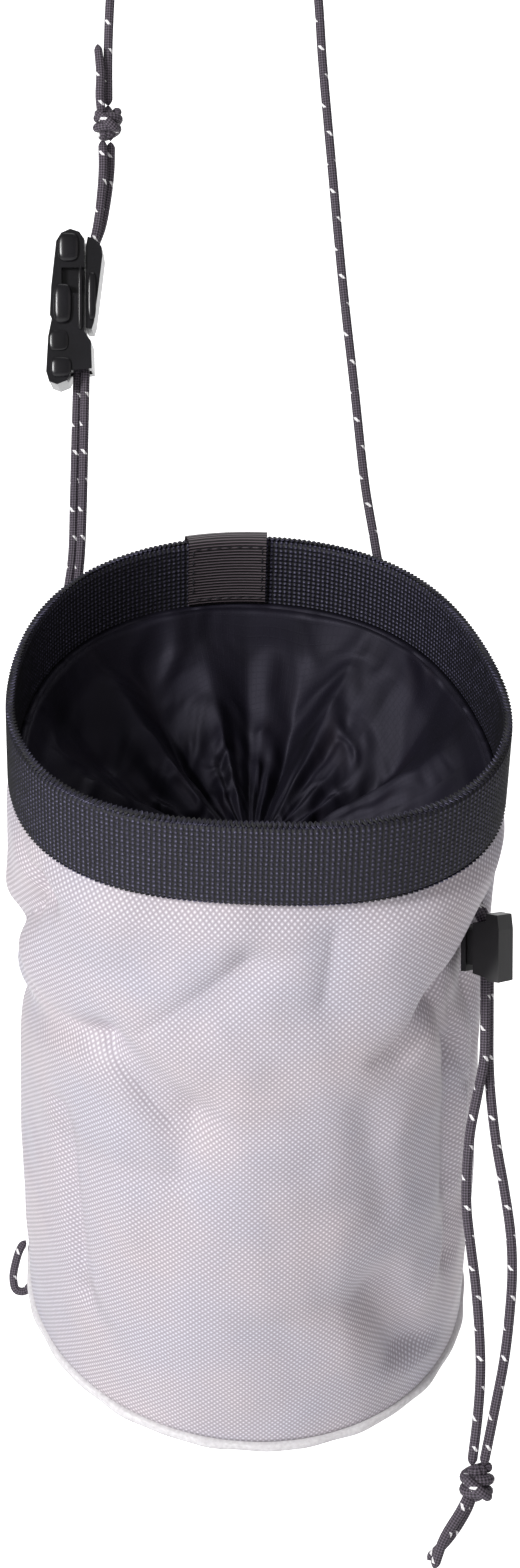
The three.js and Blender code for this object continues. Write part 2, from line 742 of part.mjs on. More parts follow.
function lockBody() {
  const open = LOCK_BACK - HEAD_WALL;
  const cords = block([open, -SLOT_HALF, -THROUGH], [CORD_ROOM, SLOT_HALF, THROUGH]);
  const bore = block(
    [open, -STEM_HALF_Y - GAP, -STEM_HALF_Z - GAP],
    [STEM_END + PLUNGER_TRAVEL + GAP, STEM_HALF_Y + GAP, STEM_HALF_Z + GAP],
  );
  return cut(platedOutline(LOCK_OUTLINE, LOCK_DEPTH), [cords, bore]);
}

function lockPlunger() {
  const headEnd = LOCK_BACK - PLUNGER_TRAVEL - GAP / 2;
  const headHalf = LOCK_DEPTH / 2 - HEAD_INSET;
  const head = block([headEnd - HEAD_WALL, -headHalf, HEAD_LOW], [headEnd, headHalf, HEAD_TOP]);
  const stem = block([headEnd - STEM_ROOT, -STEM_HALF_Y, -STEM_HALF_Z], [STEM_END, STEM_HALF_Y, STEM_HALF_Z]);
  const slot = block([-CORD_ROOM - PLUNGER_TRAVEL, -SLOT_HALF, -THROUGH], [CORD_ROOM, SLOT_HALF, THROUGH]);
  return cut(joined([head, stem]), [slot]);
}

// Assembly
const bag = new THREE.Group();
bag.position.copy(RIM_CENTRE);
bag.rotation.x = HANG_TILT;
bag.add(
  named("body_shell", bodyShell(), DOBBY),
  named("base_panel", basePanel(), DOBBY),
  named("base_seam", baseSeam(), SEAM_TAPE),
  named("rim_band", rimBand(), WEBBING),
  named("lining_collar", liningCollar(), RIPSTOP),
  named("ribbon_tab", ribbonTab(), RIBBON),
  named("belt_tunnel", beltTunnel(), WEBBING),
);

const buckle = new THREE.Group();
buckle.position.set(BUCKLE_X, 0, BUCKLE_Z);
buckle.add(named("buckle_hook", buckleHook(), ACETAL), named("buckle_frame", buckleFrame(), ACETAL));

const lock = new THREE.Group();
lock.position.set(LOCK_X, LOCK_Y, LOCK_Z);
lock.rotation.z = LOCK_TURN;
lock.add(named("lock_body", lockBody(), ACETAL), named("lock_plunger", lockPlunger(), ACETAL));

const beltKnot = named(
  "belt_knot",
  knot({
    diameter: 2.9,
    turns: 2,
    lean: 0.12,
    tailDiameter: BELT_CORD,
    tails: [
      [
        [-1.2, -1.6, 1],
        [-1.7, -2.4, 6],
        [-1.6, -2.3, 12],
        [-2.3, -2.0, 19.5],
      ],
    ],
  }),
  BRAID,
);
beltKnot.position.set(-26.9, 0, -73.9);

const backKnot = named(
  "belt_back_knot",
  knot({ diameter: 2.6, turns: 2, lean: 0.2, tailDiameter: BELT_CORD, tails: [] }),
  BRAID,
);
backKnot.position.set(-35.7, -3.3, -197.5);

const drawKnot = named(
  "draw_knot",
  knot({
    diameter: 3.1,
    turns: 2,
    lean: 0.3,
    tailDiameter: DRAW_CORD,
    tails: [
      [
        [-1.5, -1, -2],
        [-3.6, -1.3, -6],
        [-7.8, -1.3, -13],
        [-10.2, -1.2, -20],
      ],
      [
        [-0.6, 1, -2],
        [-2.2, 1.2, -6.5],
        [-6.6, 1.3, -13.5],
        [-11.6, 1.2, -18.6],
      ],
    ],
  }),
  BRAID,
);
drawKnot.position.set(63, -37, -406.6);

const cords = [
  named("belt_cord", cordAlong(BELT_ROUTE, BELT_CORD), BRAID),
  ...Object.entries(UPPER_ROUTES).map(([name, route]) => named(name, cordAlong(route, BELT_CORD), BRAID)),
  ...Object.entries(LOWER_ROUTES).map(([name, route]) => named(name, cordAlong(route, BELT_CORD), BRAID)),
  ...Object.entries(DRAW_ROUTES).map(([name, route]) => named(name, cordAlong(route, DRAW_CORD), BRAID)),
  named("brush_loop", cordAlong(BRUSH_ROUTE, LOOP_CORD, 3), BRAID),
];

const chalkBag = new THREE.Group();
chalkBag.add(bag, buckle, lock, beltKnot, backKnot, drawKnot, ...cords);

export default chalkBag;
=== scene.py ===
"""Dresses the climbing chalk bag: cloth body, webbing rim, gathered lining, cords, buckle and cord lock."""

import logging
import math
from collections.abc import Sequence
from dataclasses import dataclass, field
from enum import Enum
from typing import Any

import bpy
import numpy as np
from mathutils import Euler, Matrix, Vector

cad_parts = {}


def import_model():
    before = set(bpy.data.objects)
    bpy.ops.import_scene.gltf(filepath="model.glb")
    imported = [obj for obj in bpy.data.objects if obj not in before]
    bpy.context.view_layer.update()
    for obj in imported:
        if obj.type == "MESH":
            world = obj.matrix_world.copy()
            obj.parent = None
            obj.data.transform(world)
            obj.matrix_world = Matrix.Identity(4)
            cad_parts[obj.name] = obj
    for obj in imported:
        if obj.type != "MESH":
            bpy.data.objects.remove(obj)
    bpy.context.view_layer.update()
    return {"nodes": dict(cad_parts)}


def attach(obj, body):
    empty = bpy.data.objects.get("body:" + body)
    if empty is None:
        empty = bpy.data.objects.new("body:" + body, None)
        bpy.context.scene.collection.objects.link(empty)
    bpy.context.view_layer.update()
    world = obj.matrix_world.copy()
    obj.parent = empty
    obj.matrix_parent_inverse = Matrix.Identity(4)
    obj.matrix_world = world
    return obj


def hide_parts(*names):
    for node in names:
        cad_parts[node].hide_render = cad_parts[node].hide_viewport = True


LOG = logging.getLogger("chalk_bag")
MM = 0.001  # metres
SEAM_STEP = 0.5  # mm of texture from the last row of a closed section to its first
Grid = np.ndarray
Point = tuple[float, float, float]
Row = tuple[float, float]
Piece = bpy.types.Object
Material = bpy.types.Material
Socket = bpy.types.NodeSocket


# Small tools


def linear(code: str) -> tuple[float, float, float, float]:
    """Turns an sRGB hex colour into linear light.

    Args:
        code: Six hex digits, with or without a leading #.

    Returns:
        Red, green, blue and an alpha of 1.
    """
    code = code.lstrip("#")
    parts = [int(code[i : i + 2], 16) / 255 for i in (0, 2, 4)]
    r, g, b = (c / 12.92 if c <= 0.04045 else ((c + 0.055) / 1.055) ** 2.4 for c in parts)
    return (r, g, b, 1.0)


def smoothstep(value: Any, low: float, high: float) -> Any:
    """Returns 0 below low, 1 above high and an even S between them.

    Args:
        value: Number or array.
        low: Where the rise starts.
        high: Where it ends.

    Returns:
        The share, in the shape of value.
    """
    t = np.clip((np.asarray(value, float) - low) / (high - low), 0, 1)
    return t * t * (3 - 2 * t)


def unit(vectors: Grid) -> Grid:
    """Returns vectors at length 1."""
    return vectors / np.linalg.norm(vectors, axis=-1, keepdims=True)


def turns(count: int) -> Grid:
    """Returns even angles round a ring, in degrees."""
    return np.arange(count) * 360 / count


def round_lengths(count: int, radius: float) -> Grid:
    """Returns how far round a ring each column lies, with one more for its seam."""
    return np.arange(count + 1) / count * 2 * math.pi * radius


def run_lengths(points: Grid) -> Grid:
    """Returns how far along a row of points each one lies."""
    return np.concatenate([[0], np.cumsum(np.linalg.norm(np.diff(points, axis=0), axis=1))])


def section_lengths(rows: Sequence[Row]) -> Grid:
    """Returns how far round a closed section each row lies, with one more for its seam."""
    gone = run_lengths(np.array(rows))
    return np.append(gone, gone[-1] + SEAM_STEP)


def places_on(line: Grid, gone: Grid, at: Grid) -> Grid:
    """Returns the points of a line at the distances asked for."""
    return np.stack([np.interp(at, gone, line[:, k]) for k in range(3)], -1)


def finer(rows: Sequence[Row], step: float) -> list[Row]:
    """Adds rows to a closed section.

    Args:
        rows: Distance out and depth of each corner.
        step: Spacing in millimetres.

    Returns:
        The corners with even rows between them.
    """
    fine = []
    for start, end in zip(rows, [*rows[1:], rows[0]]):
        a, b = np.array(start), np.array(end)
        steps = max(1, int(np.hypot(*(b - a)) / step))
        fine += [tuple(a + (b - a) * t / steps) for t in range(steps)]
    return fine


def hoops(line: Grid, radius: Any, first: Grid, second: Grid, sides: int) -> Grid:
    """Places a circle of points round each point of a line.

    Args:
        line: The line.
        radius: One radius, or one for each point.
        first: One cross direction at each point.
        second: The other cross direction.
        sides: Points in a circle.

    Returns:
        Points, line by sides by 3.
    """
    turn = np.linspace(0, 2 * math.pi, sides, endpoint=False)[:, None]
    spread = np.cos(turn) * first[:, None] + np.sin(turn) * second[:, None]
    return line[:, None] + np.broadcast_to(radius, len(line))[:, None, None] * spread


def add_object(name: str, data: Any) -> Piece:
    """Adds an object to the scene.

    Args:
        name: Its name.
        data: Its mesh, camera or light.

    Returns:
        The object.
    """
    made = bpy.data.objects.new(name, data)
    bpy.context.scene.collection.objects.link(made)
    return made


def add_node(
    tree: bpy.types.NodeTree,
    kind: str,
    settings: dict[str, Any] | None = None,
    inputs: dict[Any, Any] | None = None,
) -> bpy.types.Node:
    """Adds one shader node with its settings, constants and links.

    Args:
        tree: The material's node tree.
        kind: Blender's name of the node.
        settings: Properties of the node.
        inputs: Sockets by name or number, each a constant or another node's output.

    Returns:
        The new node.
    """
    node = tree.nodes.new(kind)
    for key, value in (settings or {}).items():
        setattr(node, key, value)
    for key, value in (inputs or {}).items():
        if isinstance(value, Socket):
            tree.links.new(value, node.inputs[key])
        else:
            node.inputs[key].default_value = value
    return node


def surface(
    name: str, points: Grid, across: Grid, along: Grid, ring: bool = True, tube: bool = True
) -> Piece:
    """Builds a smooth mesh from a grid of points.

    Args:
        name: Piece name.
        points: Rows by columns by 3, in millimetres.
        across: Texture place of each column in millimetres, with one more for the seam of a ring.
        along: Texture place of each row in millimetres, with one more for the seam of a tube.
        ring: Whether the last column meets the first.
        tube: Whether the last row meets the first.

    Returns:
        The object, linked to the scene.
    """
    rows, cols = points.shape[:2]
    i, j = np.mgrid[: rows - (not tube), : cols - (not ring)]
    i2, j2 = (i + 1) % rows, (j + 1) % cols
    corners = np.stack([i * cols + j, i2 * cols + j, i2 * cols + j2, i * cols + j2], -1).reshape(-1, 4)
    u = np.stack([across[j], across[j], across[j + 1], across[j + 1]], -1).reshape(-1, 4)
    v = np.stack([along[i], along[i + 1], along[i + 1], along[i]], -1).reshape(-1, 4)
    flat = points.reshape(-1, 3) * MM
    a, b, c, d = (flat[corners[:, k]] - flat.mean(0) for k in range(4))
    volume = np.einsum("ij,ij->i", a, np.cross(b, c)).sum() + np.einsum("ij,ij->i", a, np.cross(c, d)).sum()
    if volume < 0:  # the faces look inwards
        corners, u, v = corners[:, ::-1], u[:, ::-1], v[:, ::-1]
    mesh = bpy.data.meshes.new(name)
    mesh.from_pydata(flat.tolist(), [], corners.tolist())
    layer = mesh.uv_layers.new(name="cloth")
    layer.data.foreach_set("uv", np.stack([u.ravel(), v.ravel()], -1).astype(np.float32).ravel())
    mesh.polygons.foreach_set("use_smooth", np.ones(len(mesh.polygons), bool))
    mesh.update()
    return add_object(name, mesh)


def spline_points(route: Sequence[Point], step: float) -> Grid:
    """Runs a centripetal Catmull-Rom curve through a route.

    Args:
        route: Points in millimetres.
        step: Spacing of the result in millimetres.

    Returns:
        Evenly spaced points.
    """
    p = np.array(route, float)
    p = np.vstack([2 * p[0] - p[1], p, 2 * p[-1] - p[-2]])
    found = []
    for k in range(1, len(p) - 2):
        p0, p1, p2, p3 = p[k - 1 : k + 3]
        t0 = 0.0
        t1 = t0 + np.linalg.norm(p1 - p0) ** 0.5
        t2 = t1 + np.linalg.norm(p2 - p1) ** 0.5
        t3 = t2 + np.linalg.norm(p3 - p2) ** 0.5
        t = np.linspace(t1, t2, 24, endpoint=False)[:, None]
        a1 = (t1 - t) / (t1 - t0) * p0 + (t - t0) / (t1 - t0) * p1
        a2 = (t2 - t) / (t2 - t1) * p1 + (t - t1) / (t2 - t1) * p2
        a3 = (t3 - t) / (t3 - t2) * p2 + (t - t2) / (t3 - t2) * p3
        b1 = (t2 - t) / (t2 - t0) * a1 + (t - t0) / (t2 - t0) * a2
        b2 = (t3 - t) / (t3 - t1) * a2 + (t - t1) / (t3 - t1) * a3
        found.append((t2 - t) / (t2 - t1) * b1 + (t - t1) / (t2 - t1) * b2)
    line = np.vstack([*found, p[-2][None]])
    gone = run_lengths(line)
    return places_on(line, gone, np.linspace(0, gone[-1], max(3, int(gone[-1] / step)) + 1))


def carried_frames(line: Grid) -> tuple[Grid, Grid]:
    """Carries two cross directions along a line without twist.

    Args:
        line: Points of the line.

    Returns:
        The two unit directions at each point.
    """
    tangent = unit(np.gradient(line, axis=0))
    side = np.cross(tangent[0], [0.0, 1.0, 0.0])
    if np.linalg.norm(side) < 0.1:
        side = np.cross(tangent[0], [1.0, 0.0, 0.0])
    sides = []
    for t in tangent:
        side = unit(side - t * (side @ t))
        sides.append(side)
    first = np.array(sides)
    return first, np.cross(tangent, first)


def braided_tube(name: str, line: Grid, diameter: float, sides: int = 14, ease: float = 0.0) -> Piece:
    """Builds a round cord with rounded ends.

    Args:
        name: Piece name.
        line: Its middle line in millimetres.
        diameter: In millimetres.
        sides: Faces round it.
        ease: Share by which its end narrows, for a cut end.

    Returns:
        The cord as one closed mesh.
    """
    radius = np.full(len(line), diameter / 2)
    cap = np.array([0.0, 0.55, 0.85])  # shares of the radius that round off an end
    radius[: len(cap)] *= cap
    radius[-len(cap) :] *= cap[::-1]
    radius *= 1 - ease * np.linspace(0, 1, len(line)) ** 3
    points = hoops(line, radius, *carried_frames(line), sides)
    return surface(name, points, np.linspace(0, 1, sides + 1), run_lengths(line), tube=False)


def joined(name: str, parts: Sequence[Piece]) -> Piece:
    """Joins meshes into one piece.

    Args:
        name: Name of the result.
        parts: Objects to join; the first one is kept.

    Returns:
        The joined object.
    """
    bpy.ops.object.select_all(action="DESELECT")
    for part in parts:
        part.select_set(True)
    bpy.context.view_layer.objects.active = parts[0]
    bpy.ops.object.join()
    parts[0].name = name
    parts[0].data.name = name
    return parts[0]


# Finishes


class Bands(Enum):
    """Which way a texture's bands lie, with the millimetres between them at a scale of 1."""

    ACROSS = ("X", 0.314159)
    ALONG = ("Y", 0.314159)
    SLANTED = ("DIAGONAL", 0.628318)


class Cloud(Enum):
    """The kinds of noise."""

    SOFT = "FBM"
    RIDGED = "RIDGED_MULTIFRACTAL"


@dataclass(frozen=True)
class Shading:
    """Short ways to add the usual nodes to one material."""

    tree: bpy.types.NodeTree

    def cloth(self) -> Socket:
        """Returns the place on the cloth, in millimetres."""
        return add_node(self.tree, "ShaderNodeUVMap", {"uv_map": "cloth"}).outputs[0]

    def solid(self) -> Socket:
        """Returns the place in the piece, in metres."""
        return add_node(self.tree, "ShaderNodeTexCoord").outputs["Object"]

    def calc(self, operation: str, *values: Any) -> Socket:
        """Returns the result of a sum of the kind named."""
        node = add_node(self.tree, "ShaderNodeMath", {"operation": operation}, dict(enumerate(values)))
        return node.outputs[0]

    def noise(
        self, place: Socket, scale: float, detail: float = 2.0, bend: float = 0.0, kind: Cloud = Cloud.SOFT
    ) -> Socket:
        """Adds noise.

        Args:
            place: Where it is read.
            scale: Its scale.
            detail: Its octaves.
            bend: Its distortion.
            kind: Soft clouds or sharp ridges.

        Returns:
            A number from 0 to 1.
        """
        inputs = {"Vector": place, "Scale": scale, "Detail": detail, "Distortion": bend}
        return add_node(self.tree, "ShaderNodeTexNoise", {"noise_type": kind.value}, inputs).outputs["Fac"]

    def bands(
        self, place: Socket, way: Bands, pitch: float, bend: float, detail: float = 1.0, size: float = 1.5
    ) -> Socket:
        """Adds even bands.

        Args:
            place: Where they are read, in millimetres.
            way: How they lie.
            pitch: Millimetres from one to the next.
            bend: How far they sway.
            detail: Octaves of the sway.
            size: Scale of the sway.

        Returns:
            A number from 0 between two bands to 1 on one.
        """
        direction, step = way.value
        inputs = {"Vector": place, "Scale": step / pitch, "Distortion": bend}
        inputs |= {"Detail": detail, "Detail Scale": size}
        return add_node(self.tree, "ShaderNodeTexWave", {"bands_direction": direction}, inputs).outputs["Fac"]

    def ramp(self, value: Socket, *stops: tuple[float, str]) -> Socket:
        """Adds a colour ramp.

        Args:
            value: What runs along it.
            stops: Place and hex colour of each stop, in rising order.

        Returns:
            Its colour.
        """
        node = add_node(self.tree, "ShaderNodeValToRGB", inputs={"Fac": value})
        elements = node.color_ramp.elements
        while len(elements) < len(stops):
            elements.new(1.0)
        for element, (place, code) in zip(elements, stops):
            element.position = place
            element.color = linear(code)
        return node.outputs[0]

    def bump(self, height: Socket, strength: float, distance: float, under: Socket | None = None) -> Socket:
        """Adds bump.

        Args:
            height: What stands up.
            strength: Share of it that shows.
            distance: Its full height in metres.
            under: The normal of a coarser bump below it.

        Returns:
            The normal.
        """
        inputs = {"Strength": strength, "Distance": distance, "Height": height}
        if under is not None:
            inputs["Normal"] = under
        return add_node(self.tree, "ShaderNodeBump", inputs=inputs).outputs[0]


@dataclass(frozen=True)
class Finish:
    """A material that a sub-assembly puts on its pieces."""

    name: str

    def shade(self, nodes: Shading) -> dict[str, Any]:
        """Adds the finish's own nodes.

        Args:
            nodes: The material's nodes.

        Returns:
            What each socket of the shader gets: a constant or another node's output.
        """
        raise NotImplementedError

    def material(self) -> Material:
        """Builds the material.

        Returns:
            A new material with its nodes.
        """
        made = bpy.data.materials.new(self.name)
        made.use_nodes = True
        tree = made.node_tree
        tree.nodes.clear()
        shader = add_node(tree, "ShaderNodeBsdfPrincipled", inputs=self.shade(Shading(tree)))
        add_node(tree, "ShaderNodeOutputMaterial", inputs={"Surface": shader.outputs[0]})
        return made


@dataclass(frozen=True)
class DobbyPolyester(Finish):
    """Polyester dobby cloth, woven with raised floats and coated on its inner side."""

    base: str = "c6c1c6"
    # The bright float colour is a painted highlight, and the dark groove colour is painted shade.
    float_highlight: str = "f4f2f4"
    groove_shade: str = "a8a1a7"
    pitch: float = 1.5  # mm between floats, as in the real weave

    def shade(self, nodes: Shading) -> dict[str, Any]:
        """Draws the lattice of floats over wide waves.

        Args:
            nodes: The material's nodes.

        Returns:
            What each socket of the shader gets.
        """
        uv = nodes.cloth()
        quarter = {"Vector": uv, "Rotation": (0, 0, math.pi / 2)}
        turned = add_node(nodes.tree, "ShaderNodeMapping", inputs=quarter).outputs[0]
        # The floats stand in a lattice: each gets a painted highlight as a small bright dot, with painted
        # shade in the grooves between them.
        rows = (nodes.bands(at, Bands.SLANTED, self.pitch, 0.4, size=2.0) for at in (uv, turned))
        floats = nodes.calc("MULTIPLY", *rows)
        body = nodes.ramp(floats, (0.0, self.groove_shade), (0.3, self.base), (0.62, self.base), (0.95, self.float_highlight))
        # The dye takes unevenly, so the grey leans warm in one place and cool in another.
        tint = nodes.ramp(nodes.noise(uv, 0.035, 3.0), (0.32, "fffafc"), (0.68, "f6f7ff"))
        settings = {"data_type": "RGBA", "blend_type": "MULTIPLY"}
        colour = add_node(nodes.tree, "ShaderNodeMix", settings, {0: 1.0, 6: body, 7: tint}).outputs[2]
        # The coating keeps the cloth from lying flat, which shows as wide shallow waves.
        waves = nodes.bump(nodes.noise(uv, 0.03, 1.0, 0.5), 1.0, 0.0045)
        relief = nodes.bump(floats, 0.35, 0.00012, waves)
        return {"Base Color": colour, "Normal": relief, "Roughness": 0.52, "Sheen Weight": 0.15}


@dataclass(frozen=True)
class PlainTape(Finish):
    """Polyester tape, woven plain and folded over the cut edge."""

    colour: str = "e6e4e6"

    def shade(self, nodes: Shading) -> dict[str, Any]:
        """Draws the tape's mottle.

        Args:
            nodes: The material's nodes.

        Returns:
            What each socket of the shader gets.
        """
        # Two thin layers let some light through, so the edge reads paler than the cloth.
        mottle = nodes.noise(nodes.cloth(), 0.8, 4.0)
        colour = nodes.ramp(mottle, (0.3, "cdc9cc"), (0.7, self.colour))
        return {"Base Color": colour, "Normal": nodes.bump(mottle, 0.4, 0.0001), "Roughness": 0.5}


@dataclass(frozen=True)
class PolyamideWebbing(Finish):
    """Heavy polyamide webbing, loom-woven from thick yarn in upright ribs."""

    crown: str = "454259"
    middle: str = "171528"
    gap: str = "040308"
    rib: float = 1.25  # mm from rib to rib
    loop: float = 1.15  # mm from one yarn crossing to the next

    def shade(self, nodes: Shading) -> dict[str, Any]:
        """Draws the crossing yarns and their fibres.

        Args:
            nodes: The material's nodes.

        Returns:
            What each socket of the shader gets.
        """
        uv = nodes.cloth()
        # The yarns shade each other: each crossing has a light crown with a dark gap round it.
        ribs = nodes.bands(uv, Bands.ACROSS, self.rib, 0.7)
        crossing = nodes.calc("MULTIPLY", ribs, nodes.bands(uv, Bands.ALONG, self.loop, 0.9))
        height = nodes.calc("MULTIPLY_ADD", ribs, 0.45, crossing)
        # Single fibres break up the painted highlights on the crowns and the painted shade in the gaps, so no
        # two crowns are alike.
        shading_and_fibres = nodes.calc("MULTIPLY", height, nodes.noise(uv, 1.6, 3.0))
        stops = [(0.05, self.gap), (0.25, self.middle), (0.52, self.crown), (0.85, "787592")]
        return {
            "Base Color": nodes.ramp(shading_and_fibres, *stops),
            "Normal": nodes.bump(height, 1.0, 0.0006),
            "Roughness": 0.62,
        }


@dataclass(frozen=True)
class RipstopPolyamide(Finish):
    """Polyamide ripstop, woven thin with thicker threads in a grid, then coated."""

    dark: str = "08070d"
    light: str = "13111b"

    def shade(self, nodes: Shading) -> dict[str, Any]:
        """Draws the grid of threads over sharp creases.

        Args:
            nodes: The material's nodes.

        Returns:
            What each socket of the shader gets.
        """
        uv = nodes.cloth()
        # The thicker threads give a faint grid on a nearly black ground.
        cells = {"Vector": uv, "Scale": 0.9, "Mortar Size": 0.07, "Brick Width": 1.0, "Row Height": 1.0}
        grid = add_node(nodes.tree, "ShaderNodeTexBrick", {"offset": 0.0}, cells).outputs["Fac"]
        stops = [(0.3, self.dark), (0.55, self.light), (0.75, "171219")]
        # The coating is stiff: gathered, it keeps sharp creases with a low satin sheen.
        creased = nodes.bump(nodes.noise(uv, 0.07, 3.0, 1.2, Cloud.RIDGED), 1.0, 0.003)
        return {
            "Base Color": nodes.ramp(nodes.noise(uv, 0.06, 4.0), *stops),
            "Normal": nodes.bump(grid, 0.3, 0.0002, creased),
            "Roughness": 0.6,
            "Specular IOR Level": 0.35,
            "Specular Tint": linear("e0dcf4"),
        }


@dataclass(frozen=True)
class GrosgrainRibbon(Finish):
    """Polyester grosgrain ribbon, woven with fine cross ribs of filament yarn."""

    # The light colour is a painted highlight on the ribs, and the dark one is painted shade between them.
    light: str = "675c63"
    dark: str = "090709"
    rib: float = 0.8  # mm; the real 0.6 mm is too fine to show

    def shade(self, nodes: Shading) -> dict[str, Any]:
        """Draws the cross ribs.

        Args:
            nodes: The material's nodes.

        Returns:
            What each socket of the shader gets.
        """
        # Filament yarn is smooth, so each rib shines along its top: a painted highlight on the rib tops, with
        # painted shade in the troughs between them.
        ribs = nodes.bands(nodes.cloth(), Bands.ALONG, self.rib, 0.5, 2.0, 0.4)
        colour = nodes.ramp(ribs, (0.3, self.dark), (0.65, "211d1f"), (0.92, self.light))
        return {"Base Color": colour, "Normal": nodes.bump(ribs, 0.6, 0.00025), "Roughness": 0.42}


@dataclass(frozen=True)
class BraidedPolyester(Finish):
    """Polyester accessory cord, braided round from dark yarn with pale tracers."""

    yarn: str = "4b434d"
    # The gap colour is painted shade where the strands cross.
    gap: str = "16131a"
    fleck: str = "f4f2f4"
    pitch: float = 1.3  # mm; drawn coarser than the real 0.9 mm so that it shows
    flecks: float = 7.2  # mm from one tracer fleck to the next

    def shade(self, nodes: Shading) -> dict[str, Any]:
        """Draws the crossing strands and the tracer flecks.

        Args:
            nodes: The material's nodes.

        Returns:
            What each socket of the shader gets.
        """
        around, along = add_node(nodes.tree, "ShaderNodeSeparateXYZ", inputs={0: nodes.cloth()}).outputs[:2]
        # Strands that wind both ways give small diamonds, with painted shade in the dark corners between them
        # and a painted highlight on each strand's crown.
        strands = []
        for lean in (5.0, -5.0):
            place = nodes.calc("MULTIPLY_ADD", along, 1 / self.pitch, nodes.calc("MULTIPLY", around, lean))
            strands.append(nodes.calc("SINE", nodes.calc("MULTIPLY", place, 2 * math.pi)))
        height = nodes.calc("MULTIPLY_ADD", nodes.calc("MULTIPLY", *strands), 0.5, 0.5)
        dark = nodes.ramp(height, (0.12, self.gap), (0.5, self.yarn), (0.95, "6c6370"))
        # The tracers come up two at a time as short slanted flecks that creep round the cord.
        tally = nodes.calc("DIVIDE", along, self.flecks)
        share = nodes.calc("FRACT", tally)
        creep = nodes.calc("MULTIPLY_ADD", nodes.calc("FLOOR", tally), 0.19, around)
        slant = nodes.calc("MULTIPLY_ADD", share, 0.9, creep)
        phase = nodes.calc("FRACT", nodes.calc("MULTIPLY", slant, 2.0))
        thin = nodes.calc("COMPARE", phase, 0.5, 0.12)
        mask = nodes.calc("MULTIPLY", thin, nodes.calc("COMPARE", share, 0.5, 0.085))
        colours = {0: mask, 6: dark, 7: linear(self.fleck)}
        colour = add_node(nodes.tree, "ShaderNodeMix", {"data_type": "RGBA"}, colours).outputs[2]
        return {"Base Color": colour, "Normal": nodes.bump(height, 0.8, 0.0003), "Roughness": 0.6}


class Polish(Enum):
    """How a moulded plastic piece came out of its tool."""

    GLOSSY = 0.26
    SATIN = 0.45


@dataclass(frozen=True)
class MouldedAcetal(Finish):
    """Acetal, injection-moulded in a polished or a blasted steel tool."""

    colour: str = "17161a"
    polish: Polish = Polish.GLOSSY

    def shade(self, nodes: Shading) -> dict[str, Any]:
        """Draws the melt's flow and the tool's grain.

        Args:
            nodes: The material's nodes.

        Returns:
            What each socket of the shader gets.
        """
        place = nodes.solid()
        # The melt's flow clouds the black a little, and the tool's grain softens its highlights.
        colour = nodes.ramp(nodes.noise(place, 120.0), (0.3, "100f12"), (0.7, self.colour))
        return {
            "Base Color": colour,
            "Normal": nodes.bump(nodes.noise(place, 900.0, 3.0), 0.12, 0.0001),
            "Roughness": self.polish.value,
            "IOR": 1.48,
            "Specular IOR Level": 0.45,
        }


@dataclass(frozen=True)
class SewingThread(Finish):
    """Polyester sewing thread, spun and twisted."""

    colour: str = "1a191f"

    def shade(self, nodes: Shading) -> dict[str, Any]:
        """Returns the shader's sockets for twisted thread."""
        # The twist scatters the light, which leaves a dull even colour.
        twist = nodes.noise(nodes.solid(), 2500.0)
        return {"Base Color": linear(self.colour), "Normal": nodes.bump(twist, 0.3, 0.0001), "Roughness": 0.7}


@dataclass(frozen=True)
class StudioPaper(Finish):
    """Matt studio paper, rolled from white pulp and lit from behind."""

    glow: float = 0.0

    def shade(self, nodes: Shading) -> dict[str, Any]:
        """Returns the shader's sockets for paper that glows."""
        # Its own glow washes out shadows, so it reads as an even white.
        return {
            "Base Color": linear("fcfcfd"),
            "Roughness": 0.9,
            "Emission Color": linear("ffffff"),
            "Emission Strength": self.glow,
        }


@dataclass
class Palette:
    """The materials, built once."""

    dobby: Material = field(default_factory=DobbyPolyester("polyester_dobby").material)
    tape: Material = field(default_factory=PlainTape("polyester_tape").material)
    webbing: Material = field(default_factory=PolyamideWebbing("polyamide_webbing").material)
    ripstop: Material = field(default_factory=RipstopPolyamide("polyamide_ripstop").material)
    ribbon: Material = field(default_factory=GrosgrainRibbon("polyester_grosgrain").material)
    braid: Material = field(default_factory=BraidedPolyester("polyester_braid").material)
    glossy: Material = field(default_factory=MouldedAcetal("acetal_glossy").material)
    satin: Material = field(default_factory=MouldedAcetal("acetal_satin", "1d1b1e", Polish.SATIN).material)
    thread: Material = field(default_factory=SewingThread("polyester_thread").material)


# The bag's form, by the same sizes as its solids


class FoldKind(Enum):
    """The cross shape of a fold."""

    SOFT = 2.0
    CREASE = 1.15


@dataclass(frozen=True)
class Fold:
    """One fold of the wall, from one angle in degrees and share of the height to another.

    Its width and depth are shares of the rim's radius.
    """

    start: tuple[float, float]
    end: tuple[float, float]
    wide: float
    deep: float
    kind: FoldKind = FoldKind.SOFT


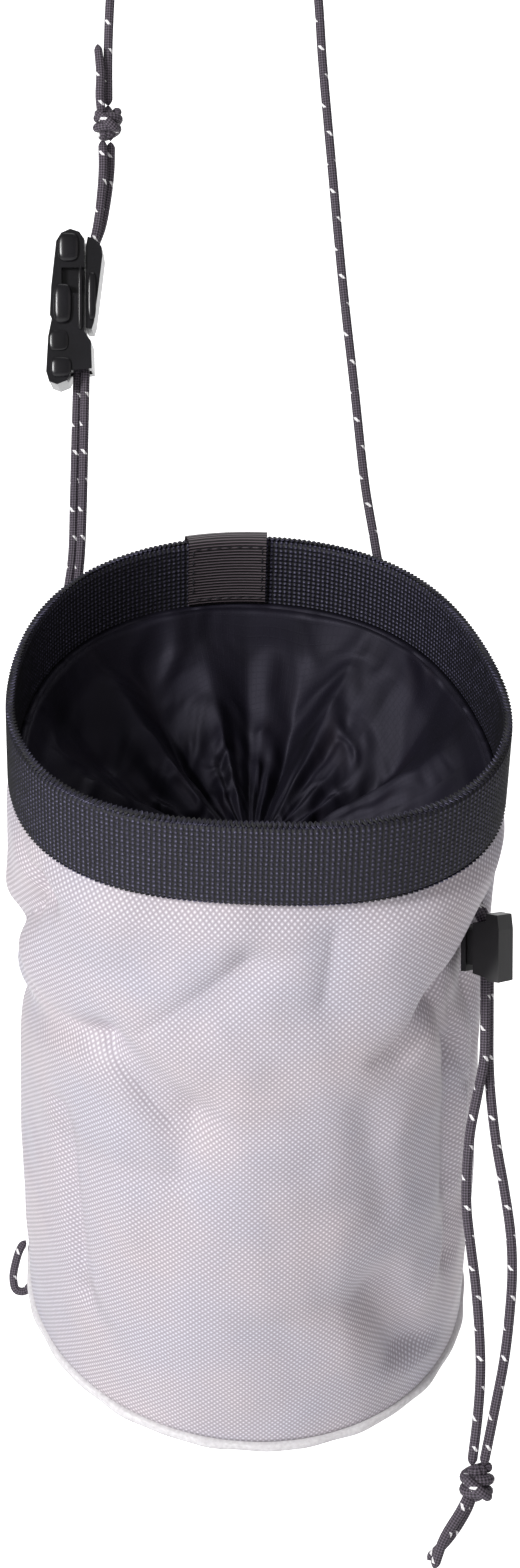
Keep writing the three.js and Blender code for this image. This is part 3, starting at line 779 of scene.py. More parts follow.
@dataclass(frozen=True)
class BagForm:
    """Sizes of the bag in millimetres and the functions that give its surface."""

    rim_radius: float = 59.5
    height: float = 190
    base_radius: float = 58.5
    band_height: float = 20
    band_wall: float = 2
    gap: float = 0.3
    tilt: float = math.radians(38)
    centre: Point = (10.5, -48.3, -215.2)
    sag_front: float = 12
    sag_side: float = 2.7
    sag_bend: float = 0.8
    skew: float = 4.5
    back_angle: float = 97
    swell_end: float = 1.45  # heights of the band at which the wall has come out to its full width
    folds_begin: Row = (0.115, 0.165)  # shares of the height over which the folds set in
    folds_end: Row = (0.91, 0.96)  # shares of the height over which they fade out
    lobes: tuple[tuple[int, float, float], ...] = ((2, 0.0285, -49), (3, 0.037, -31), (4, 0.025, -43))
    profile: tuple[Row, ...] = (
        (0.0, 0.01), (0.16, 0.013), (0.3, 0.0), (0.47, -0.014), (0.77, 0.01), (1.0, 0.0)
    )  # share of the height, and by how much of the rim's radius the wall is wider there
    folds: tuple[Fold, ...] = (
        Fold((-158, 0.12), (-143, 0.18), 0.06, 0.035),
        Fold((-143, 0.18), (-188, 0.43), 0.085, 0.05),
        Fold((-165, 0.27), (-152, 0.3), 0.14, -0.03),
        Fold((-195, 0.5), (-126, 0.355), 0.085, 0.045),
        Fold((-126, 0.355), (-104, 0.44), 0.1, 0.045),
        Fold((-104, 0.44), (-107, 0.54), 0.1, 0.028),
        Fold((-90, 0.2), (-104, 0.29), 0.1, 0.028),
        Fold((-142, 0.527), (-134, 0.82), 0.06, 0.035),
        Fold((-70, 0.12), (-70, 0.26), 0.14, 0.02),
        Fold((-42, 0.3), (-22, 0.26), 0.11, 0.085),
        Fold((-27, 0.26), (-25, 0.36), 0.18, 0.1),
        Fold((-42, 0.3), (-54, 0.36), 0.085, 0.04),
        Fold((-42, 0.3), (-31, 0.45), 0.085, 0.05),
        Fold((-33, 0.44), (-28, 0.8), 0.08, 0.045),
        Fold((-58, 0.76), (-40, 0.95), 0.15, 0.045),
        Fold((25, 0.3), (12, 0.68), 0.12, 0.04),
        Fold((62, 0.22), (78, 0.5), 0.12, 0.045),
        Fold((122, 0.28), (104, 0.62), 0.13, 0.04),
        Fold((150, 0.5), (163, 0.82), 0.11, 0.04),
        Fold((92, 0.6), (92, 0.85), 0.16, -0.025),
    )
    creases: tuple[Fold, ...] = (
        Fold((-144, 0.15), (-150, 0.23), 0.04, 0.026, FoldKind.CREASE),
        Fold((-150, 0.23), (-172, 0.36), 0.045, 0.026, FoldKind.CREASE),
        Fold((-152, 0.37), (-128, 0.37), 0.05, 0.022, FoldKind.CREASE),
        Fold((-128, 0.37), (-110, 0.46), 0.05, 0.026, FoldKind.CREASE),
        Fold((-91, 0.19), (-116, 0.32), 0.04, 0.014, FoldKind.CREASE),
        Fold((-71, 0.13), (-73, 0.25), 0.05, 0.016, FoldKind.CREASE),
        Fold((-43, 0.3), (-31, 0.44), 0.04, 0.026, FoldKind.CREASE),
        Fold((-31, 0.44), (-28, 0.74), 0.045, 0.022, FoldKind.CREASE),
        Fold((-60, 0.36), (-42, 0.3), 0.04, 0.02, FoldKind.CREASE),
        Fold((-139, 0.55), (-136, 0.78), 0.04, 0.016, FoldKind.CREASE),
        Fold((-124, 0.5), (-120, 0.66), 0.07, -0.014),
        Fold((-62, 0.44), (-56, 0.62), 0.09, 0.02),
        Fold((-55, 0.77), (-42, 0.93), 0.11, 0.05),
        Fold((-40, 0.86), (-30, 0.7), 0.06, -0.016),
        Fold((-22, 0.28), (-18, 0.6), 0.03, 0.03, FoldKind.CREASE),
        Fold((-33, 0.33), (-24, 0.52), 0.03, 0.024, FoldKind.CREASE),
        Fold((-24, 0.5), (-26, 0.72), 0.04, -0.014, FoldKind.CREASE),
    )

    def out_of_round(self, angle: Grid, down: Grid) -> Grid:
        """Gives how much larger the radius is than a circle's.

        Args:
            angle: Degrees round the bag.
            down: Share of the height.

        Returns:
            A factor near 1.
        """
        fade = 1 - smoothstep(down, 0, 0.75)
        lobes = sum(share * np.cos(n * np.radians(angle - turn)) for n, share, turn in self.lobes)
        return 1 + fade * lobes

    def point(self, angle: Grid, radius: Grid, depth: Grid) -> Grid:
        """Places a point of the bag in the hanging frame.

        Args:
            angle: Degrees round the bag.
            radius: Distance from its middle.
            depth: Distance below the rim plane.

        Returns:
            Points in millimetres, with x, y, z last.
        """
        angle, radius, depth = np.broadcast_arrays(angle, radius, depth)
        down = np.clip(depth / self.height, 0, 1.2)
        shift = down**self.sag_bend
        x = radius * np.cos(np.radians(angle))
        y = radius * np.sin(np.radians(angle))
        z = -depth - self.skew * (x / self.rim_radius) * down
        return self.hung(np.stack([x - self.sag_side * shift, y - self.sag_front * shift, z], -1))

    def hung(self, points: Grid) -> Grid:
        """Tilts points of the bag and moves them to where it hangs.

        Args:
            points: Points in the bag's own frame.

        Returns:
            The same points in the hanging frame.
        """
        x, y, z = np.moveaxis(points, -1, 0)
        c, s = math.cos(self.tilt), math.sin(self.tilt)
        return np.stack([x, y * c - z * s, y * s + z * c], -1) + np.array(self.centre)

    def fold_depth(self, fold: Fold, angle: Grid, down: Grid) -> Grid:
        """Gives one fold's depth at places on the wall.

        Args:
            fold: The fold.
            angle: Degrees round the bag.
            down: Share of the height.

        Returns:
            Millimetres inwards.
        """
        across = math.radians(1) * self.rim_radius
        ax, ay = fold.start[0] * across, fold.start[1] * self.height
        bx, by = fold.end[0] * across - ax, fold.end[1] * self.height - ay
        away = []
        for turn in (0, -360, 360):
            px, py = (angle + turn) * across - ax, down * self.height - ay
            t = np.clip((px * bx + py * by) / (bx * bx + by * by), 0, 1)
            away.append(np.hypot(px - t * bx, py - t * by))
        reach = np.minimum.reduce(away) / (fold.wide * self.rim_radius)
        return fold.deep * self.rim_radius * np.exp(-(reach**fold.kind.value))

    def wall_radius(self, angle: Grid, down: Grid, fine: bool = True) -> Grid:
        """Gives the cloth wall's outside radius.

        Args:
            angle: Degrees round the bag.
            down: Share of the height.
            fine: Whether small creases and the cloth's unevenness are added.

        Returns:
            Millimetres from the middle.
        """
        angle, down = np.broadcast_arrays(np.asarray(angle, float), np.asarray(down, float))
        tucked = self.rim_radius - self.band_wall - self.gap
        places, widths = np.array(self.profile).T
        k = np.clip(np.searchsorted(places, down, side="right") - 1, 0, len(places) - 2)
        share = smoothstep((down - places[k]) / (places[k + 1] - places[k]), 0, 1)
        wider = widths[k] + (widths[k + 1] - widths[k]) * share
        around = self.rim_radius + (self.base_radius - self.rim_radius) * down + self.rim_radius * wider
        band_end = (self.band_height + self.gap) / self.height
        out = smoothstep(down, band_end, band_end * self.swell_end)
        free = smoothstep(down, *self.folds_begin) * (1 - smoothstep(down, *self.folds_end))
        folds = self.folds + self.creases if fine else self.folds
        dent = sum(self.fold_depth(fold, angle, down) for fold in folds)
        if fine:
            dent = dent + self.unevenness(angle, down)
        return (tucked + (around - tucked) * out) * self.out_of_round(angle, down) - free * dent

    def unevenness(self, angle: Grid, down: Grid) -> Grid:
        """Gives the cloth's small waves, a few tenths of a millimetre deep.

        Args:
            angle: Degrees round the bag.
            down: Share of the height.

        Returns:
            Millimetres inwards.
        """
        a = np.radians(angle)
        waves = 0.22 * np.sin(5 * a + 9 * down + 0.7) * np.sin(14 * down + 2 * a)
        waves += 0.16 * np.sin(9 * a - 21 * down + 2.1) * np.sin(6 * a + 17 * down)
        waves += 0.07 * np.sin(23 * a + 31 * down) * np.sin(13 * a - 44 * down + 1.0)
        return waves


def paint(piece: Piece, finish: Material) -> None:
    """Makes a finish the only material of a piece."""
    piece.data.materials.clear()
    piece.data.materials.append(finish)


def dress(piece: Piece, finish: Material, slot: str, *nodes: str) -> Piece:
    """Gives a new piece its material, and hides the nodes that it stands for.

    Args:
        piece: The new piece.
        finish: Its material.
        slot: Not used.
        nodes: CAD nodes that it replaces.

    Returns:
        The same piece.
    """
    paint(piece, finish)
    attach(piece, "bag")
    if nodes:
        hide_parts(*nodes)
    LOG.info("%s: %d faces", piece.name, len(piece.data.polygons))
    return piece


def keep_node(node: Piece, finish: Material, bevel: float) -> None:
    """Puts a material and softened edges on a CAD node that stays.

    Args:
        node: The node.
        finish: Its material.
        bevel: Edge radius in millimetres.
    """
    paint(node, finish)
    soft = node.modifiers.new("edges", "BEVEL")
    soft.width = bevel * MM
    soft.segments = 3
    soft.limit_method = "ANGLE"
    soft.angle_limit = math.radians(30)
    soft.harden_normals = False
    LOG.info("%s: kept", node.name)


def sewn_line(name: str, line: Grid, outward: Grid, stitch: float, space: float, thick: float) -> Piece:
    """Lays a row of stitches along a line.

    Args:
        name: Piece name.
        line: Points of the line in millimetres, close together.
        outward: Direction away from the cloth at each point.
        stitch: Length of a stitch in millimetres.
        space: Distance between stitches.
        thick: Thread diameter.

    Returns:
        One mesh with all the stitches.
    """
    gone = run_lengths(line)
    sides, rings = 6, 5
    bow = np.sin(np.linspace(0, math.pi, rings))
    verts: list[Any] = []
    faces: list[Any] = []
    for start in np.arange(0, gone[-1] - stitch, stitch + space):
        at = start + np.linspace(0, stitch, rings)
        out = unit(places_on(outward, gone, at))
        mid = places_on(line, gone, at) + out * (bow[:, None] * thick * 0.6 - thick * 0.2)
        side = np.cross(unit(np.gradient(mid, axis=0)), out)
        ring = hoops(mid, thick / 2 * (0.35 + 0.65 * bow), side, out, sides)
        first = len(verts)
        verts.extend((ring.reshape(-1, 3) * MM).tolist())
        for r in range(rings - 1):
            for s in range(sides):
                n = (s + 1) % sides
                a = first + r * sides
                faces.append((a + s, a + n, a + sides + n, a + sides + s))
        faces.append(tuple(first + s for s in range(sides))[::-1])
        faces.append(tuple(first + (rings - 1) * sides + s for s in range(sides)))
    mesh = bpy.data.meshes.new(name)
    mesh.from_pydata(verts, [], faces)
    mesh.polygons.foreach_set("use_smooth", np.ones(len(faces), bool))
    return add_object(name, mesh)


# Sub-assemblies


@dataclass
class ClothBody:
    """The round wall, the base and the folded edge between them."""

    form: BagForm
    palette: Palette
    around: int = 400
    rows: int = 160
    inner_rows: int = 60
    wall: float = 1.2
    clear: float = 1.4  # walls by which the coarse inner side stays behind the folds
    top: float = 17.0  # mm below the rim, where the wall's edge hides behind the band
    base_rise: float = 2.2  # mm from the wall's foot up to the base
    seam_section: tuple[Row, ...] = (
        (0.7, 0.0), (1.1, 0.7), (1.15, 1.6), (0.9, 2.35), (0.2, 2.7), (-1.6, 2.6), (-2.6, 2.2), (-2.6, 0.3)
    )  # mm out from the wall and down from its foot
    seam_texture: tuple[float, ...] = (0.0, 0.9, 1.8, 2.6, 3.4, 5.0, 6.0, 8.0, 9.0)

    def side(self, depths: Grid, inset: float) -> Grid:
        """Gives the points of one side of the wall.

        Args:
            depths: Distances below the rim.
            inset: Millimetres inwards.

        Returns:
            Points, depths by angles by 3.
        """
        angles, depth = turns(self.around)[None], depths[:, None]
        return self.form.point(angles, self.form.wall_radius(angles, depth / self.form.height) - inset, depth)

    def build_wall(self) -> None:
        """Builds the wall with its folds, and a plain inner side."""
        below = self.form.band_height + self.form.gap
        outer = np.append(self.top, np.linspace(below, self.form.height, self.rows))
        inner = np.linspace(self.form.height, self.top, self.inner_rows)
        points = np.concatenate([self.side(outer, 0.0), self.side(inner, self.wall * self.clear)])
        across = round_lengths(self.around, self.form.rim_radius)
        wall = surface("cloth_wall", points, across, np.concatenate([outer, inner, inner[-1:]]))
        dress(wall, self.palette.dobby, "dobby_cloth", "body_shell")
        wall.data.materials.append(self.palette.ripstop)
        hidden = np.zeros((len(points), self.around), np.int32)
        hidden[0] = 1
        hidden[len(outer) :] = 1
        wall.data.polygons.foreach_set("material_index", hidden.ravel())

    def build_base(self) -> None:
        """Builds the round base with a slight slack."""
        angles = turns(180)
        shares = np.linspace(1, 0, 24)[:-1]
        edge = self.form.wall_radius(angles, np.ones(1), fine=False) - self.wall - self.form.gap
        depth = self.form.height - self.base_rise
        waves = 0.5 * np.sin(3 * np.radians(angles))[None] * np.sin(math.pi * shares)[:, None]
        top, low = (
            self.form.point(angles[None], edge[None] * shares[:, None], depth + thick + waves)
            for thick in (0.0, self.wall)
        )
        along = np.concatenate([shares[::-1], shares, shares[:1]]) * self.form.base_radius
        base = surface("cloth_base", np.concatenate([low[::-1], top]), np.arange(181) * 2.0, along)
        dress(base, self.palette.dobby, "dobby_cloth", "base_panel")

    def build_seam(self) -> None:
        """Builds the pale folded edge with its small ripples."""
        angles = turns(720)
        edge = self.form.wall_radius(angles, np.ones(1), fine=False)
        ripple = 0.18 * np.sin(np.radians(angles) * 17) + 0.12 * np.sin(np.radians(angles) * 29 + 1)
        foot = self.form.height + self.form.gap
        rows = [
            self.form.point(angles, edge + out + ripple * (down > 0.5), foot + down)
            for out, down in self.seam_section
        ]
        across = round_lengths(720, self.form.base_radius)
        seam = surface("seam_edge", np.stack(rows), across, np.array(self.seam_texture))
        dress(seam, self.palette.tape, "seam_tape", "base_seam")

    def build(self) -> None:
        """Builds every piece of the body."""
        self.build_wall()
        self.build_base()
        self.build_seam()


@dataclass
class RimSet:
    """The webbing band, the ribbon tab folded over it and the tunnel behind it."""

    form: BagForm
    palette: Palette
    rib: float = 1.25
    around: int = 1500
    band_rows: int = 22
    rib_height: float = 0.14
    loop_radius: float = 0.34  # mm, of the yarn in the loops along the band's edges
    tab_half: float = 10
    stitch: float = 1.9
    space: float = 0.7
    thread: float = 0.42
    tunnel_half: float = 30  # degrees
    tunnel_section: tuple[Row, ...] = (
        (0.35, 8.0), (2.6, 8.6), (5.2, 9.8), (5.75, 11.0), (5.75, 14.0),
        (5.75, 17.2), (5.2, 18.6), (2.6, 19.5), (0.35, 20.0), (0.35, 18.4),
        (2.6, 18.2), (4.5, 17.4), (4.5, 10.6), (2.6, 9.8), (0.35, 9.7)
    )  # mm out from the band and down from the rim

    @property
    def rib_count(self) -> int:
        """How many ribs stand round the band."""
        return round(2 * math.pi * self.form.rim_radius / self.rib)

    def strip(self, rows: Sequence[Row], angles: Grid, ribs: Any = 0.0) -> Grid:
        """Places a section of (distance out, depth) rows at each angle.

        Args:
            rows: The section.
            angles: Degrees round the bag.
            ribs: Millimetres by which each row and column stands proud.

        Returns:
            Points, rows by angles by 3.
        """
        out, depth = np.array(rows)[:, :1], np.array(rows)[:, 1:]
        edge = self.form.rim_radius * self.form.out_of_round(angles[None], depth / self.form.height)
        return self.form.point(angles[None], edge + out + ribs, depth)

    def build_band(self) -> None:
        """Builds the band with upright ribs and looped edges."""
        angles = turns(self.around)
        height, wall = self.form.band_height, self.form.band_wall
        downs = np.linspace(0.7, height - 0.5, self.band_rows)
        rows = [(0.0, d) for d in downs]
        rows += [(-0.3, height), (-wall / 2, height + 0.15), (-wall + 0.3, height)]
        rows += [(-wall, d) for d in downs[::-1]]
        rows += [(-wall + 0.35, 0.12), (-wall / 2, -0.05), (-0.35, 0.12)]
        outside = np.array([[1.0 if out > -wall / 2 else -1.0] for out, _ in rows])
        ribs = self.rib_height * np.cos(np.radians(angles) * self.rib_count)[None] * outside
        across = np.arange(self.around + 1) / self.around * self.rib_count * self.rib
        band = surface("webbing_band", self.strip(rows, angles, ribs), across, section_lengths(rows))
        dress(band, self.palette.webbing, "rim_webbing", "rim_band")

    def build_picots(self) -> None:
        """Builds the small yarn loops along the band's two edges, one for each rib."""
        angles = turns(self.rib_count * 6)
        phase = np.radians(angles) * self.rib_count
        rise = 0.12 + 0.3 * np.abs(np.sin(phase / 2))
        swing = 0.75 * np.cos(phase) - 1.0
        edge = self.form.rim_radius * self.form.out_of_round(angles, np.zeros(1)) + swing
        for name, depth, up in (("top", -0.05, -1.0), ("foot", 20.1, 1.0)):
            line = self.form.point(angles, edge, depth + up * rise)
            first, second = carried_frames(np.vstack([line, line[:1]]))
            points = np.swapaxes(hoops(line, self.loop_radius, first[:-1], second[:-1], 6), 0, 1)
            loops = surface(f"picot_{name}", points, np.arange(len(line) + 1) * 0.2, np.arange(7) * 0.35)
            dress(loops, self.palette.webbing, "rim_webbing")

    def build_tab(self) -> None:
        """Builds the ribbon folded over the rear of the rim, with its stitches."""
        reach = math.degrees(self.tab_half / self.form.rim_radius)
        middle, wall = self.form.back_angle, self.form.band_wall
        rows = [(0.4, 6.5), (1.45, 6.5), (1.5, 3.0), (1.4, 0.0), (0.9, -1.0), (-0.2, -1.5), (-wall, -1.5)]
        rows += [(-wall - 1.1, -1.0), (-wall - 1.5, 0.0), (-wall - 1.45, 4.0), (-wall - 1.4, 10.0)]
        rows += [(-wall - 1.35, 14.5), (-wall - 1.3, 16.7), (-wall - 0.35, 16.7), (-wall - 0.35, 10.0)]
        rows += [(-wall - 0.35, 1.0), (-wall - 0.3, -0.3), (0.3, -0.3), (0.35, 3.0)]
        fine = finer(rows, 0.9)
        points = self.strip(fine, np.linspace(middle - reach, middle + reach, 60))
        across = np.linspace(0, 2 * self.tab_half, 60)
        ribbon = surface("tab_ribbon", points, across, section_lengths(fine), ring=False)
        dress(ribbon, self.palette.ribbon, "grosgrain_ribbon", "ribbon_tab")
        face = -wall - 1.45
        level = np.linspace(middle - reach * 0.94, middle + reach * 0.94, 90)
        upright = [(face, down) for down in np.linspace(0.8, 14.8, 60)]
        lines = [self.strip([(face, down)], level)[0] for down in (14.8, 0.6)]
        lines += [self.strip(upright, np.array([middle + reach * side]))[:, 0] for side in (-0.9, 0.9)]
        parts = []
        for k, line in enumerate(lines):
            inward = unit(self.form.hung(np.zeros(3)) - line)
            parts.append(sewn_line(f"tab_stitch_{k}", line, inward, self.stitch, self.space, self.thread))
        dress(joined("tab_stitches", parts), self.palette.thread, "grosgrain_ribbon")

    def build_tunnel(self) -> None:
        """Builds the webbing tunnel behind the band that the belt cord runs through."""
        middle = self.form.back_angle
        angles = np.linspace(middle - self.tunnel_half, middle + self.tunnel_half, 260)
        fine = finer(self.tunnel_section, 0.8)
        points = self.strip(fine, angles, 0.05 * np.cos(np.radians(angles) * self.rib_count)[None])
        across = np.radians(angles - angles[0]) * (self.form.rim_radius + 5)
        tunnel = surface("tunnel_webbing", points, across, section_lengths(fine), ring=False)
        dress(tunnel, self.palette.webbing, "rim_webbing", "belt_tunnel")

    def build(self) -> None:
        """Builds every piece of the rim."""
        self.build_band()
        self.build_picots()
        self.build_tab()
        self.build_tunnel()


@dataclass
class Lining:
    """The thin inner cloth, gathered into radial folds by its draw cord."""

    form: BagForm
    palette: Palette
    around: int = 540
    rows: int = 90
    low_rows: int = 14
    thick: float = 0.9
    depth: float = 36
    neck: float = 6
    neck_back: float = 5
    texture_radius: float = 40  # mm, the cloth's mean radius before it is gathered
    texture_reach: float = 55  # mm from the sewn edge to the neck along the cloth
    funnel: tuple[Row, ...] = ((0.0, 0.0), (0.08, 0.22), (0.28, 0.5), (0.52, 0.72), (0.78, 0.88), (1.0, 1.0))
    pleats: tuple[Point, ...] = (
        (152, 9, -0.16), (134, 7, 0.12), (122, 7, -0.18), (104, 8, 0.1), (92, 6, -0.12), (76, 8, -0.2),
        (60, 8, 0.16), (44, 7, 0.06), (28, 8, -0.18), (8, 10, 0.16), (-14, 8, -0.16), (-36, 10, 0.12),
        (-60, 9, -0.16), (-84, 10, 0.12), (-108, 9, -0.14), (-134, 11, 0.14), (-160, 9, -0.14), (176, 8, 0.12)
    )  # degrees round the bag, width in degrees, height as a share of the depth

    def pleat(self, angle: Grid, reach: Grid) -> Grid:
        """Gives the pleats' height.

        Args:
            angle: Degrees round the bag.
            reach: Share of the way from the sewn edge to the neck.

        Returns:
            Millimetres up.
        """
        swing = np.sin(math.pi * np.clip(reach, 0, 1) ** 0.8)
        total = np.zeros(np.broadcast(angle, reach).shape)
        for middle, wide, high in self.pleats:
            away = (angle - middle + 540) % 360 - 180
            total = total + high * np.exp(-((np.abs(away) / wide) ** 1.5))
        a = np.radians(angle)
        fine = 0.026 * np.sin(31 * a + 3 * reach) + 0.02 * np.sin(47 * a - 5 * reach + 1.3)
        fine = fine * smoothstep(reach, 0.2, 0.8)
        fine = fine + 0.012 * np.sin(19 * a + 11 * reach) * np.sin(23 * reach + 3 * a)
        return self.depth * swing * (total + fine)

    def side(self, reach: Grid, below: float) -> Grid:
        """Gives the points of one side of the cloth.

        Args:
            reach: Shares of the way from the sewn edge to the neck.
            below: Millimetres under the upper side.

        Returns:
            Points, reach by angles by 3.
        """
        angles, share = turns(self.around)[None], reach[:, None]
        start = self.form.band_height - 3
        edge = self.form.rim_radius - self.form.band_wall - 1.2 - 2 * self.form.gap
        outer = edge * self.form.out_of_round(angles, np.array(start / self.form.height))
        drop = np.interp(share, *np.array(self.funnel).T) * self.depth
        depth = start + drop - self.pleat(angles, share) + below
        lean = np.array([0.0, math.cos(self.form.tilt), math.sin(self.form.tilt)])
        points = self.form.point(angles, outer + (self.neck - outer) * share, depth)
        return points + self.neck_back * share[..., None] * lean

    def build(self) -> None:
        """Builds the gathered collar with an upper and a lower side."""
        top, low = np.linspace(0, 1, self.rows) ** 0.9, np.linspace(1, 0, self.low_rows)
        points = np.concatenate([self.side(top, 0.0), self.side(low, self.thick)])
        along = np.concatenate([top, low, low[-1:]]) * self.texture_reach
        collar = surface("lining_cloth", points, round_lengths(self.around, self.texture_radius), along)
        dress(collar, self.palette.ripstop, "ripstop_lining", "lining_collar")


# Each cord's middle line in millimetres, keyed by the CAD tube that it replaces.
CORD_ROUTES: dict[str, list[Point]] = {
    "belt_cord": [
        (-30.6, -2.2, -196.7), (-27.4, -0.2, -195.2), (-21.8, 2.7, -192.9), (-14.8, 5.4, -190.9),
        (-6.3, 7.5, -189.3), (2.5, 8.6, -188.5), (11.3, 8.7, -188.4), (20, 7.9, -189.1),
        (27.4, 6.5, -190.3), (33.4, 4.6, -191.8), (37.8, 3.3, -192.3), (40.7, 2.7, -190),
        (41.4, 2.3, -186), (40.4, 1.9, -179), (38.0, 1.2, -165), (35.2, 0.6, -140),
        (32.4, 0.2, -115), (29.6, 0, -85), (27.2, 0, -58), (26.2, 0, -42.9),
        (24.6, 0, -28), (19.6, 0, -12.8), (10.6, 0, -2.9), (0, 0, 0),
        (-10.6, 0, -2.9), (-19.6, 0, -12.8), (-25.2, 0, -28), (-26.2, 0, -42.9),
        (-26.7, 0, -56), (-26.7, 0, -69.6),
    ],
    "belt_upper_front": [
        (-28.0, -0.9, -78.2), (-27.9, -1.1, -86), (-28.5, -1.3, -94),
        (-29.3, -1.35, -100), (-30.2, -1.35, -104.6), (-30.4, -1.35, -109.4),
    ],
    "belt_upper_rear": [
        (-26.1, 1.3, -78.2), (-26.3, 1.3, -86), (-27.3, 1.35, -94),
        (-28.5, 1.35, -100), (-30.1, 1.35, -104.6), (-30.4, 1.35, -109.4),
    ],
    "belt_lower_front": [
        (-32.2, -1.35, -131.6), (-32.4, -1.4, -140), (-32.7, -1.6, -155),
        (-33.0, -2.2, -170), (-33.5, -2.6, -183), (-34.6, -2.3, -193.4),
    ],
    "belt_lower_rear": [
        (-34.2, 1.35, -131.6), (-34.5, 1.2, -140), (-34.9, 0.8, -155),
        (-35.2, -0.2, -170), (-35.6, -0.8, -183), (-36.9, -2.6, -193.4),
    ],
    "draw_cord_left": [
        (55.6, -34.4, -262.4), (59.4, -35.9, -265.4), (62.5, -37.2, -268.8), (64.3, -37.9, -272.2),
        (65, -38.2, -275.8), (65.07, -38.24, -280), (65.07, -38.24, -287.4), (65, -38.3, -297),
        (64.7, -38.2, -306), (63.2, -38, -314), (61.5, -37.8, -323), (60.7, -37.6, -333),
        (60.7, -37.5, -341), (61.6, -37.4, -349.5), (62.8, -37.3, -359), (63.7, -37.2, -370),
        (64, -37.1, -380), (63.4, -37, -390), (61.9, -37, -402.4),
    ],
    "draw_cord_right": [
        (56.7, -31.9, -262.4), (60.5, -33.4, -265.4), (63.6, -34.7, -268.8), (65.4, -35.4, -272.2),
        (66.1, -35.7, -275.8), (66.13, -35.76, -280), (66.13, -35.76, -287.4), (66.1, -35.7, -297),
        (66.1, -35.8, -306), (66.6, -36, -315), (67.9, -36.2, -326), (69.8, -36.4, -337),
        (71.2, -36.6, -347), (71.6, -36.7, -356), (71, -36.8, -366), (69.7, -36.9, -377),
        (67.4, -37, -389), (64.7, -37, -402.4),
    ],
    "brush_loop": [
        (-52.3, 58.5, -364.2), (-53.9, 58.5, -366.8), (-55.1, 58.5, -370.6), (-55.7, 58.6, -374.6),
        (-54.9, 58.8, -377.8), (-52.6, 59.2, -378.2), (-50.4, 59.6, -375.6),
    ],
}


